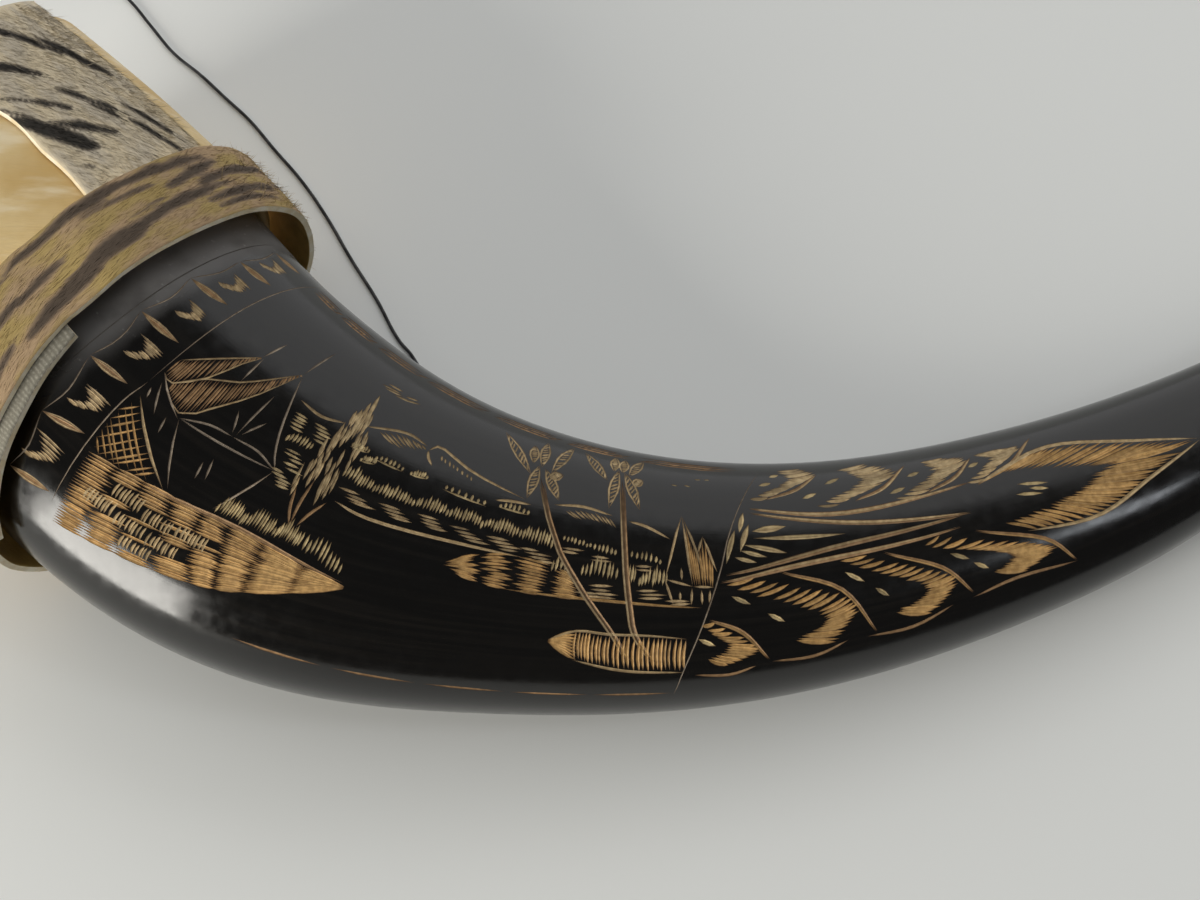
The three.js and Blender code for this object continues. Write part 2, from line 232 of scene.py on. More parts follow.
def part_of(path: Path, start: float, end: float) -> Path:
    """The stretch of a path between two shares of it."""
    return lambda t: path(start + (end - start) * np.asarray(t, float))


def between(first: Path, second: Path, share: float) -> Path:
    """The path at a share of the way from one path to another."""
    return lambda t: first(t) * (1 - share) + second(t) * share


class Engraver:
    """Collects the graver's strokes on the front of the horn."""

    TAPER = 0.5
    SHADES = (0.75, 1.2)
    WIDTHS = (0.8, 1.15)
    JITTER = 0.2

    def __init__(self, form: HornForm, seed: int) -> None:
        """Take the horn's form, and a seed for the unsteady hand."""
        self.form = form
        self.hand = random.Random(seed)
        self.strokes: list[Stroke] = []

    def moved(self, place: Place, along: float, around: float) -> Place:
        """The place that lies some millimetres along and around from another one."""
        per_s, per_degree = self.form.scale(place[0], place[1])
        return (place[0] + along / float(per_s), place[1] + around / float(per_degree))

    def trace(self, path: Path, width: float, tint: Tint = Tint.TAN, steps: int = 8) -> None:
        """Cut along a path with one stroke that swells from a point and ends in one."""
        t = np.linspace(0, 1, steps + 1)
        line = path(t)
        along, around = self.form.scale(line[:, 0], line[:, 1])
        scale = np.stack([along, around], axis=1)
        run = np.gradient(line, axis=0) * scale
        run /= np.maximum(np.linalg.norm(run, axis=1), 1e-9)[:, None]
        aside = np.stack([-run[:, 1], run[:, 0]], axis=1) / scale
        half = width / 2 * np.sin(math.pi * np.clip(t, 0, 1)) ** self.TAPER
        half[[0, -1]] = 0
        shade = self.hand.uniform(*self.SHADES)
        colour = tuple(channel * shade for channel in tint.value)
        self.strokes.append(Stroke(line, aside, half, colour))

    def bowed(self, start: Place, end: Place, bow: float) -> Path:
        """A path from one place to another that bends to the left by some millimetres."""
        middle = ((start[0] + end[0]) / 2, (start[1] + end[1]) / 2)
        per_s, per_degree = self.form.scale(*middle)
        run = ((end[0] - start[0]) * per_s, (end[1] - start[1]) * per_degree)
        length = math.hypot(*run)
        top_s = middle[0] - run[1] / length * bow / per_s
        top_angle = middle[1] + run[0] / length * bow / per_degree
        return arc(start, (top_s, top_angle), end)

    def cut(self, start: Place, end: Place, width: float, tint: Tint = Tint.TAN,
            bow: float = 0.0) -> None:
        """Cut from one place to another, bowed to the left by some millimetres."""
        if bow == 0:
            self.trace(arc(start, end), width, tint, steps=3)
        else:
            self.trace(self.bowed(start, end, bow), width, tint, steps=5)

    def traces(self, paths: Sequence[Path], width: float, tint: Tint, steps: int = 8) -> None:
        """Cut along several paths."""
        for path in paths:
            self.trace(path, width, tint, steps)

    def cuts(self, lines: Sequence[tuple[Place, Place]], width: float, tint: Tint) -> None:
        """Cut along several straight lines."""
        for start, end in lines:
            self.cut(start, end, width, tint)

    def hatch(self, first: Path, second: Path, count: int, width: float, tint: Tint = Tint.TAN,
              stray: float = 0.1, bow: float = 0.0) -> None:
        """Fill the area between two paths with parallel cuts.

        Args:
            first: Where the cuts start.
            second: Where they end.
            count: Number of cuts.
            width: Width of a cut.
            tint: Colour of the cuts.
            stray: How far a cut may stop short or run over, as a share of its length.
            bow: How far a cut bends to the left.
        """
        for i in range(count):
            t = (i + 0.5 + self.hand.uniform(-self.JITTER, self.JITTER)) / count
            a, b = first(t), second(t)
            low, high = self.hand.uniform(-stray, stray), 1 + self.hand.uniform(-stray, stray)
            start, end = a + (b - a) * low, a + (b - a) * high
            wide = width * self.hand.uniform(*self.WIDTHS)
            self.cut(tuple(start), tuple(end), wide, tint, bow)

    def dashes(self, path: Path, length: float, width: float, tint: Tint = Tint.TAN,
               gap: float = 0.25) -> None:
        """Cut a broken line along a path, in dashes of about the given length."""
        ends = path(np.array([0.0, 0.5, 1.0]))
        along, around = self.form.scale(ends[:, 0], ends[:, 1])
        run = np.diff(ends, axis=0) * [along[1], around[1]]
        count = max(1, round(float(np.linalg.norm(run, axis=1).sum()) / length))
        for i in range(count):
            start = (i + self.hand.uniform(0, gap)) / count
            end = (i + 1 - self.hand.uniform(0, gap)) / count
            wide = width * self.hand.uniform(*self.WIDTHS)
            self.trace(part_of(path, start, end), wide, tint, steps=3)


@dataclass(frozen=True)
class Crescent:
    """A crescent leaf of the scroll, given by three places each on its hollow, its back and its outline."""

    hollow: tuple[Place, ...]
    back: tuple[Place, ...]
    outline: tuple[Place, ...]


class HornPicture(Engraver):
    """The landscape, its border and the leaf scroll on the horn's front."""

    CLUSTERS = ((42, 34), (61, 53.5), (77, 71), (91.5, 86.5), (109, 102), (130.5, 121))
    LEAVES = (
        ((92, 29), (104, 26)), ((92, 48.5), (105, 46)), ((89.5, 66.5), (103, 64)), ((89.5, 83), (103, 82)),
        ((90.5, 97), (102, 95.5)), ((92.5, 116.5), (103, 112.5)), ((94.5, 138), (104.5, 134.5)),
    )
    UPPER_CRESCENTS = (
        Crescent(((266.5, 39), (267.5, 52), (257, 64.5)), ((273, 37), (277, 47), (262, 64)),
                 ((261.5, 64.5), (270.5, 58.5), (277.5, 46.5))),
        Crescent(((283.5, 43), (287.5, 57), (274, 71)), ((291.5, 38.5), (298.5, 55), (280, 71.5)),
                 ((285, 70), (294, 64), (302, 48.5))),
        Crescent(((306, 48), (307, 61), (295, 73.5)), ((313, 48), (318, 57.5), (302, 75)),
                 ((304, 73), (313, 67), (319.5, 54.5))),
        Crescent(((320.5, 53), (323.5, 60.5), (314.5, 73.5)), ((328, 53), (333, 57), (319, 74)),
                 ((317.5, 75.5), (328.5, 67.5), (337.5, 50))),
    )
    LOWER_CRESCENTS = (
        Crescent(((242.5, 118.5), (248, 131), (243.5, 138)), ((245, 117), (255.5, 134), (247.5, 143)),
                 ((244.5, 116.5), (252, 124.5), (257.5, 141.5))),
        Crescent(((248, 100.5), (270.5, 121), (263, 133)), ((255, 98), (278.5, 115.5), (272, 139)),
                 ((262, 97), (276, 109.5), (282.5, 137))),
        Crescent(((276.5, 95.5), (295.5, 118), (286.5, 128.5)), ((283, 95), (303.5, 116.5), (295.5, 136)),
                 ((288, 95.5), (301, 110), (307, 129.5))),
        Crescent(((297.5, 96.5), (317.5, 113), (313, 122)), ((302, 93), (329.5, 117), (321, 128.5)),
                 ((312, 96), (328, 112), (334.5, 133.5))),
    )

    def draw(self) -> list[Stroke]:
        """Cut the whole picture.

        Returns:
            The strokes, the latest one last.
        """
        self.border()
        self.house()
        self.lattice()
        self.bank()
        self.tree()
        self.hills()
        self.shore()
        self.meadow()
        self.palms()
        self.hut()
        self.edge_lines()
        self.leaf_scroll()
        self.end_leaf()
        return self.strokes

    def stack(self, place: Place, count: int, length: float, tint: Tint = Tint.SAND,
              slant: float = 0.0) -> None:
        """A small stack of cuts along the horn, one below the other."""
        for i in range(count):
            start = self.moved(place, i * slant + self.hand.uniform(-0.7, 0.7) - length / 2, i * 0.9)
            end = self.moved(start, length * self.hand.uniform(0.75, 1.1), self.hand.uniform(-0.2, 0.2))
            self.cut(start, end, self.hand.uniform(0.6, 0.8), tint)

    def tuft(self, start: Place, end: Place, cuts: int, height: float, tint: Tint = Tint.STRAW) -> None:
        """A tuft of grass between two places: upright cuts, the tallest in the middle."""
        for i in range(cuts):
            t = (i + 0.5) / cuts
            foot = (mix(start[0], end[0], t), mix(start[1], end[1], t))
            reach = height * (0.55 + 0.45 * math.sin(math.pi * t)) * self.hand.uniform(0.85, 1.15)
            foot = self.moved(foot, self.hand.uniform(-0.1, 0.1), self.hand.uniform(-0.1, 0.1) * height)
            self.cut(foot, self.moved(foot, reach * 0.12, -reach), self.hand.uniform(0.6, 0.8), tint)

    def lens(self, start: Place, end: Place, width: float, tint: Tint = Tint.SAND) -> None:
        """A small lens: a broad cut between two fine edges."""
        self.cut(start, end, width, tint)
        self.cut(start, end, 0.4, Tint.STRAW, bow=width * 0.4)
        self.cut(start, end, 0.4, Tint.STRAW, bow=-width * 0.4)

    def border(self) -> None:
        """The border band by the wrapping: crescents of short cuts, lens leaves and scratched lines."""
        for left, right in self.CLUSTERS:
            middle = (left + right) / 2
            hollow = arc((94.2, left), (97.8, middle), (94.2, right))
            back = arc((97.8, left - 0.5), (101.8, middle), (102.6, right - 0.3))
            self.hatch(hollow, back, 9, 0.85, Tint.SAND, stray=0.08)
        for start, end in self.LEAVES:
            self.cut(start, end, 1.0, Tint.RUSSET)
            self.cut(start, end, 0.5, Tint.SAND, bow=0.75)
            self.cut(start, end, 0.5, Tint.SAND, bow=-0.75)
        for (left, _), (right, _) in zip(self.LEAVES, self.LEAVES[1:]):
            middle = ((left[0] + right[0]) / 2 + 1.8, (left[1] + right[1]) / 2)
            self.trace(arc(left, middle, right), 0.45, Tint.PALE)
        self.trace(arc((88.5, 24), (87.6, 70), (88.5, 112)), 0.35, Tint.SCRATCH, steps=14)
        self.trace(arc((112, 20), (107, 60), (105, 92)), 0.35, Tint.PALE, steps=14)
        self.trace(arc((105, 92), (104, 103), (105.8, 138)), 0.4, Tint.PALE, steps=10)

    def house(self) -> None:
        """A house with two swept, finely hatched roofs and thin wall lines."""
        upper_ridge = arc((106.5, 85), (110, 81.6), (115, 76.8), (119, 73), (122, 70))
        upper_eave = arc((106.2, 89), (109.5, 89.6), (115, 84), (119, 75.5), (122, 70.5))
        lower_ridge = arc((109.3, 89.8), (115.5, 84), (122, 80), (128, 74), (134, 67))
        lower_eave = arc((109.6, 90.6), (115.5, 93.2), (122, 87.8), (128, 79.5), (134, 67.3))
        self.hatch(upper_eave, upper_ridge, 23, 0.62, Tint.RUSSET, stray=0.05)
        self.hatch(lower_eave, lower_ridge, 36, 0.62, Tint.RUSSET, stray=0.05)
        self.traces((upper_ridge, upper_eave, lower_ridge, lower_eave), 0.5, Tint.SAND)
        bowed_walls = (
            arc((134, 67), (138, 86), (141.5, 93)), arc((116.5, 94), (127, 93.6), (141.5, 93)),
            arc((116.5, 94), (123, 91.5), (129, 91)), arc((129, 91), (136, 91), (141.5, 93)),
        )
        self.traces(bowed_walls, 0.6, Tint.PALE)
        lines = (
            ((122, 70), (124.5, 61)), ((122, 79.5), (122.5, 70)), ((134, 67), (137.2, 52)),
            ((106, 89), (116.5, 94.5)), ((141.5, 93), (134, 109.5)), ((116.5, 94), (124, 111)),
            ((126.5, 86), (128.5, 90.5)), ((131.5, 77.5), (129.5, 90.5)), ((134, 85), (130.5, 90)),
            ((107.5, 90.5), (111.5, 97)), ((114, 95.5), (115, 100)), ((127, 99.5), (127.5, 104.5)),
            ((128.5, 97.5), (129.5, 103.5)), ((106.5, 92.5), (107.5, 95)),
        )
        self.cuts(lines, 0.6, Tint.PALE)

    def lattice(self) -> None:
        """The lattice panel beside the house."""
        starts = arc((104.3, 99.5), (105.2, 108), (106.5, 114.5), (112, 113.8), (118, 112.8))
        ends = arc((107, 96.5), (110.5, 100), (114, 103.2), (117.5, 106.5), (121, 109.7))
        self.hatch(starts, ends, 10, 0.62, stray=0.03)
        crossing = arc((106, 97.5), (104.6, 104), (105.3, 111.5))
        self.hatch(crossing, arc((120.5, 112.4), (113.5, 113.6), (107.5, 114.6)), 7, 0.62, stray=0.03)
        self.cut((106, 95.5), (123.5, 112), 0.8, Tint.SAND)

    def bank(self) -> None:
        """The bank before the house: long cuts along it, woven blocks across, and grass along its top."""
        top = arc((106, 115.8), (124, 112.3), (141, 111.8), (164.5, 117.5))
        bottom = arc((107.5, 143), (121, 138.5), (136, 134.5), (146, 130), (164.5, 118.5))
        blocks = ((118.5, 119.5), (126, 121), (133.5, 120.5), (114, 126), (121.5, 127), (129, 127.5),
                  (124.5, 133))
        rows, pieces = 27, 8
        for row in range(rows):
            lane = between(top, bottom, (row + self.hand.uniform(-0.2, 0.2)) / (rows - 1))
            for i in range(pieces):
                start = (i - 0.1 + self.hand.uniform(-0.12, 0.12)) / pieces
                end = (i + 1.1 + self.hand.uniform(-0.12, 0.12)) / pieces
                stretch = part_of(lane, max(start, 0), min(end, 1))
                middle = stretch(0.5)
                if not any(abs(middle[0] - s) < 3.2 and abs(middle[1] - a) < 2.4 for s, a in blocks):
                    self.trace(stretch, 0.8 * self.hand.uniform(0.8, 1.2), steps=3)
        for s, angle in blocks:
            upper = arc((s - 3.4, angle - 2.6), (s + 3.4, angle - 2.8))
            lower = arc((s - 3.6, angle + 2.8), (s + 3.2, angle + 2.6))
            self.hatch(upper, lower, 8, 0.75, Tint.SAND, stray=0.08, bow=0.3)
        self.trace(arc((118, 113.5), (141, 111), (164, 116.5)), 1.0, Tint.RUSSET)
        tufts = (
            ((134.5, 109.5), (141, 109.8)), ((140.5, 109.5), (147.5, 109.5)),
            ((147.5, 109.2), (153, 109.5)), ((152.5, 109), (163, 114.5)),
        )
        for start, end in tufts:
            self.tuft(start, end, 11, 5.0)

    def tree(self) -> None:
        """A spiky tree of many leaning cuts, on a forked trunk, with tufts beside it."""
        cuts = 74
        for i in range(cuts):
            t = i / (cuts - 1)
            spread = 4.6 * min(t / 0.5, 1) ** 1.2
            foot = (mix(155.2, 150.5, t), mix(66, 96, t))
            foot = self.moved(foot, self.hand.uniform(-spread, spread), self.hand.uniform(-1, 1.5))
            reach = self.hand.uniform(4.5, 6.5)
            self.cut(foot, self.moved(foot, reach * 0.02, -reach), self.hand.uniform(0.7, 0.9), Tint.SAND)
        trunk = (((147.5, 94), (149.5, 104.5)), ((150.5, 91), (149.7, 104)), ((155, 95), (151, 104)))
        for start, end in trunk:
            self.cut(start, end, 0.8, Tint.RUSSET, bow=0.4)
        for place in ((140, 78.5), (146.5, 78.5), (143.5, 88), (143, 92.5)):
            self.stack(place, 5, 4.5, Tint.STRAW, slant=0.4)
        self.tuft((139.5, 86.5), (146.5, 85.8), 8, 3.2)

    def hills(self) -> None:
        """Hill lines on the skyline with a few shading cuts, and strokes of cloud and birds above."""
        hills = (
            arc((137.5, 74.5), (144.5, 75.8), (151, 74)), arc((155.5, 72), (166, 67.5), (172.5, 69)),
            arc((173, 70.5), (176, 67.3), (185, 72.5), (199.5, 77.5)),
            arc((173, 70.5), (173.5, 73), (175, 75.5)), arc((192, 80.5), (196, 79.4), (201, 79)),
            arc((206.5, 77), (214, 75.5), (221.5, 77.5)), arc((225.5, 79), (230, 80.5), (236, 85)),
        )
        self.traces(hills, 0.8, Tint.SAND)
        shading = (
            (((158.5, 71.5), (165, 69), (171.5, 69.5)), ((164.5, 74.2), (169, 72.5), (173, 70.5)), 9, 0.65),
            (((176, 70), (185.5, 74.5)), ((176.4, 72.3), (185.8, 76.3)), 8, 0.6),
            (((208.5, 78.5), (215, 77.2), (221, 78.5)), ((212, 80.8), (218, 81), (223, 82.5)), 10, 0.6),
        )
        for crest, foot, count, width in shading:
            self.hatch(arc(*crest), arc(*foot), count, width, Tint.SAND)
        clouds = (
            ((153.8, 52.6), (160.5, 52)), ((155.5, 50.6), (160.5, 50.6)), ((155, 53.6), (161, 53)),
            ((158.5, 54.4), (164, 53.4)), ((160.5, 54.6), (166.5, 52.2)), ((161.5, 52.2), (165.5, 51)),
        )
        birds = (
            ((236.5, 56.5), (238.4, 57)), ((240, 56), (242, 57)), ((243, 51), (245, 50.8)),
            ((245.6, 50.7), (247.5, 50.5)),
        )
        self.cuts(clouds, 0.65, Tint.SAND)
        self.cuts(birds, 0.45, Tint.STRAW)

    def shore(self) -> None:
        """The far shore: tufts of reeds in a row, smaller ones above, and stacks of water lines below."""
        reeds = ((155.5, 88.5), (164, 89.3), (173, 89.5), (182, 89.2), (190.5, 89.8), (199, 90.2),
                 (207.5, 91.5))
        for start, end in zip(reeds, reeds[1:]):
            self.tuft(start, end, 11, 4.6)
            centre = ((start[0] + end[0]) / 2, end[1] + 1.2)
            self.stack(centre, 4, 6.5, Tint.SAND, slant=1.0)
        low_reeds = (((209.5, 89), (216, 90.2)), ((216, 90), (223, 91.5)), ((226, 91), (234, 93.5)))
        for start, end in low_reeds:
            self.tuft(start, end, 7, 2.2)
            self.stack(((start[0] + end[0]) / 2, end[1] + 0.6), 2, 5.5, Tint.SAND)
        small = (((154.5, 80), (159.5, 79.6)), ((161, 80.5), (169, 81)), ((170.5, 81), (175, 80.5)),
                 ((179, 82), (190.5, 83.5)), ((193, 82.5), (201, 83)), ((158, 82.8), (162, 82)))
        for start, end in small:
            self.tuft(start, end, 7, 2.0)
            self.cut(start, end, 0.6, Tint.STRAW)
        self.trace(arc((156.5, 93.8), (165, 95.3), (185.5, 95.2), (201, 95.6)), 0.9, Tint.SAND, steps=12)

    def meadow(self) -> None:
        """The near meadow: rows of long dashes that come to a point, with grass between them."""
        top = arc((182.5, 102.6), (190, 97.8), (198, 95.6), (208, 97), (214, 100.5))
        bottom = arc((183, 103.6), (190, 106), (198, 107.3), (207, 107.8), (216, 108.2))
        rows = 11
        for row in range(rows):
            lane = between(top, bottom, row / (rows - 1))
            self.dashes(part_of(lane, self.hand.uniform(0, 0.12), 1), 8, 0.8, Tint.TAN, gap=0.16)
        grass = (
            ((207.5, 98.5), (211.5, 99), 4), ((214.5, 98.8), (223.5, 99.8), 9),
            ((225, 100), (227.5, 100), 4), ((228, 101.5), (235, 101.5), 9),
        )
        for start, end, blades in grass:
            self.tuft(start, end, blades, 4.6)
        for place, count in (((220, 102.5), 4), ((231, 103.5), 3), ((217, 105.5), 2), ((238, 107.5), 2)):
            self.stack(place, count, 7.0, Tint.SAND, slant=0.6)
        self.trace(arc((197, 107.6), (217.5, 108), (228, 108.8), (243, 110.8)), 0.8, steps=12)

    def palms(self) -> None:
        """Two leaning palms with hatched fronds, on a small island."""
        trunks = (
            arc((202, 66), (206.5, 85), (214, 101.5), (222.5, 121.5), (226.8, 137)),
            arc((223.3, 58), (224.5, 84.5), (226.5, 110.5), (228, 123.5), (232.7, 139)),
        )
        for trunk in trunks:
            self.trace(trunk, 1.5, Tint.BROWN, steps=14)
            self.trace(self.beside(trunk, -0.6, 0), 0.5, Tint.SAND, steps=14)
            self.trace(self.beside(trunk, 0.6, 0), 0.4, Tint.RUSSET, steps=14)
        fronds = (
            ((199.5, 66), (190.3, 45.5)), ((199.5, 60), (199, 48)), ((201.8, 61), (202.2, 42.5)),
            ((204.5, 63), (209.5, 40.5)), ((201.2, 60), (199.6, 77)), ((202.8, 61), (207.6, 75)),
            ((204, 65), (207.8, 62)), ((219.5, 60), (212.5, 42)), ((221, 53), (221.3, 40)),
            ((223.3, 53), (224, 41)), ((225, 55), (229.2, 39)), ((222.3, 51), (220.3, 74.5)),
            ((223.8, 52), (228.3, 73.5)), ((226, 60), (229, 56)),
        )
        for base, tip in fronds:
            self.frond(base, tip)
        top = arc((209, 126.6), (215, 121.8), (222, 122.8), (231, 123.3), (239.5, 125.5))
        bottom = arc((209, 127.6), (215, 135.5), (222, 139.6), (231, 142.8), (239, 143.2))
        self.hatch(part_of(top, 0.24, 1), part_of(bottom, 0.24, 1), 26, 0.9, stray=0.06, bow=0.5)
        for row in range(9):
            lane = between(top, bottom, row / 8)
            self.trace(part_of(lane, 0, 0.27), 0.85, steps=4)
        self.trace(part_of(top, 0, 1), 0.7, Tint.SAND, steps=12)
        self.trace(arc((214.5, 136), (226, 142.2), (238.8, 144.6)), 0.8, Tint.SAND)

    def beside(self, path: Path, along: float, around: float) -> Path:
        """A path that runs some millimetres along the horn and some degrees around it from another one."""
        return lambda t: path(t) + np.array([along, around])

    def frond(self, base: Place, tip: Place, belly: float = 1.15) -> None:
        """One pointed frond: two bowed edges with short slanting cuts between them."""
        left, right = (self.bowed(base, tip, side) for side in (-belly, belly))
        self.traces((left, right), 0.6, Tint.SAND, steps=5)
        self.hatch(part_of(left, 0.05, 0.8), part_of(right, 0.2, 0.95), 8, 0.6, Tint.SAND, stray=0.05)

    def hut(self) -> None:
        """A small hut with two steep gables, the nearer one hatched, on posts."""
        lines = (
            ((239, 74.5), (234.5, 98.5)), ((239, 74.5), (241, 101.5)), ((239, 74.5), (245, 101)),
            ((244, 83.5), (247, 96)), ((244, 83.5), (242.5, 90)), ((234.5, 98.5), (241, 101.5)),
            ((241, 101.5), (246, 102)), ((234.5, 98.5), (236.5, 109.5)), ((240.8, 102), (240.5, 109.5)),
            ((238.4, 94), (238.5, 99)), ((238, 103.5), (238, 107.5)), ((243, 103), (243, 109.5)),
            ((245, 103), (244.6, 109)),
        )
        self.cuts(lines, 0.7, Tint.SAND)
        gable = arc((239.6, 78), (241.8, 88), (244, 85), (246.4, 93))
        eave = arc((241.3, 101), (242.6, 101.6), (244.2, 102), (246, 102))
        self.hatch(gable, eave, 9, 0.65, Tint.TAN, stray=0.06)

    def edge_lines(self) -> None:
        """The line between picture and scroll, and the lines along both edges of the picture."""
        self.trace(arc((261.5, 42), (250, 85.5), (240, 134.5), (236.5, 162)), 0.4, Tint.PALE, steps=18)
        upper = arc((113, 29), (130, 32), (150, 34), (174, 35.5), (200, 38), (222, 38.8), (258, 41.5))
        edging = ((0.0, 0.8, Tint.RUSSET), (-2.5, 0.8, Tint.RUSSET), (-5.0, 0.9, Tint.BROWN))
        for shift, width, tint in edging:
            self.dashes(self.beside(upper, 0, shift), 19, width, tint, gap=0.1)
        shifted = self.beside(part_of(upper, 0.06, 0.98), 0, -4)
        self.hatch(part_of(upper, 0.03, 0.95), shifted, 26, 0.6, Tint.BROWN)
        lower = arc((146, 150.5), (192, 157), (237, 160))
        self.dashes(lower, 22, 0.7, Tint.RUSSET, gap=0.05)

    def leaf_scroll(self) -> None:
        """Two rows of crescent leaves on branching stems, with seeds in their hollows."""
        for leaf, cuts in zip(self.UPPER_CRESCENTS, (13, 17, 15, 14)):
            self.crescent(leaf, cuts, Tint.SAND)
        for leaf, cuts in zip(self.LOWER_CRESCENTS, (13, 22, 22, 21)):
            self.crescent(leaf, cuts, Tint.TAN)
        stems = (
            arc((256.5, 70), (281.5, 76.3), (316, 73)), arc((256.5, 72.5), (285, 82.5), (313, 89)),
            arc((249, 97.5), (275.5, 90.7), (311, 88.8)), arc((247.5, 100.5), (270.5, 95), (309, 93)),
        )
        for stem in stems:
            self.trace(stem, 1.4, Tint.RUSSET, steps=14)
            self.trace(self.beside(stem, 0, -0.5), 0.5, Tint.SAND, steps=14)
        lenses = (
            ((256.5, 81.5), (265.5, 80), 1.9), ((256.5, 84.5), (280, 86.3), 1.2),
            ((254, 87), (264.5, 90.5), 1.3), ((253, 89), (259.5, 91.3), 1.0),
            ((251.5, 90.8), (256.8, 93), 1.0), ((255, 72), (253.3, 82), 1.3),
            ((256, 78), (253, 89.5), 1.5), ((252.3, 80.5), (249.3, 93), 1.4),
        )
        for start, end, width in lenses:
            self.lens(start, end, width)
        under = (
            ((241, 147), (248.5, 149.2), (254.5, 145)), ((258, 143.5), (267.5, 144.8), (275.5, 138.5)),
            ((280, 139), (291, 140.5), (301.5, 133.5)), ((306.5, 133), (319, 130), (334.5, 134.5)),
        )
        self.traces([arc(*places) for places in under], 0.9, Tint.RUSSET)
        seeds = (
            ((260.5, 54.5), (264.2, 52.3)), ((264, 46.7), (267, 44.5)), ((271.3, 65.2), (275.6, 62.3)),
            ((278.4, 56.2), (283.2, 51.8)), ((294.4, 69.2), (299.2, 66.8)), ((300.8, 59.2), (304.7, 57.3)),
            ((317.3, 62.2), (320.7, 60.3)), ((249.8, 106.3), (254.2, 110.7)),
            ((257.8, 115.8), (261.7, 121.2)), ((241.8, 125.8), (245.7, 130.2)),
            ((277.4, 101.3), (281.7, 107.7)), ((283.8, 111.8), (286.7, 117.8)),
            ((303.8, 103.8), (308.2, 109.7)), ((308.8, 112.2), (312.2, 118.2)),
        )
        self.cuts(seeds, 1.2, Tint.STRAW)

    def crescent(self, leaf: Crescent, cuts: int, tint: Tint) -> None:
        """One crescent leaf: cuts from its hollow side to its back, and a strong cut along its outline."""
        self.hatch(arc(*leaf.hollow), arc(*leaf.back), cuts, 1.05, tint, stray=0.06, bow=0.3)
        self.trace(arc(*leaf.outline), 1.1, Tint.RUSSET, steps=10)
        self.trace(self.beside(arc(*leaf.outline), -0.2, 0.5), 0.5, tint, steps=10)

    def end_leaf(self) -> None:
        """The large leaf at the end of the scroll: feathered cuts around a bare eye with three dashes."""
        upper_inner = arc((318, 75.3), (325, 72.5), (334, 76), (345.5, 83.5), (352, 87))
        upper_outer = arc((329, 66.5), (337, 63.2), (350, 68.5), (363, 81.5), (376, 93))
        lower_inner = arc((319, 97), (331, 95.7), (338.5, 94), (344, 91), (350, 87.5))
        lower_outer = arc((326, 105), (341, 110), (352, 107), (361, 101.5), (373, 96.3))
        self.hatch(upper_inner, upper_outer, 25, 1.05, stray=0.05)
        self.hatch(lower_inner, lower_outer, 24, 1.1, stray=0.05, bow=-0.4)
        self.hatch(arc((350, 87), (357, 89.2)), arc((369, 91.5), (378, 94)), 4, 1.0, stray=0.05)
        outlines = (
            arc((317, 75.5), (327.5, 68), (336, 63), (345.5, 64.8), (362.5, 80.5), (378, 94)),
            arc((324.5, 104.7), (343.5, 110.7), (360.5, 102), (378, 94.6)),
        )
        self.traces(outlines, 1.1, Tint.SAND, steps=14)
        eye = (((327, 81.5), (335, 85.5)), ((329.5, 85.3), (334.5, 88.3)), ((325.5, 86.5), (332.5, 89.5)))
        self.cuts(eye, 1.0, Tint.STRAW)


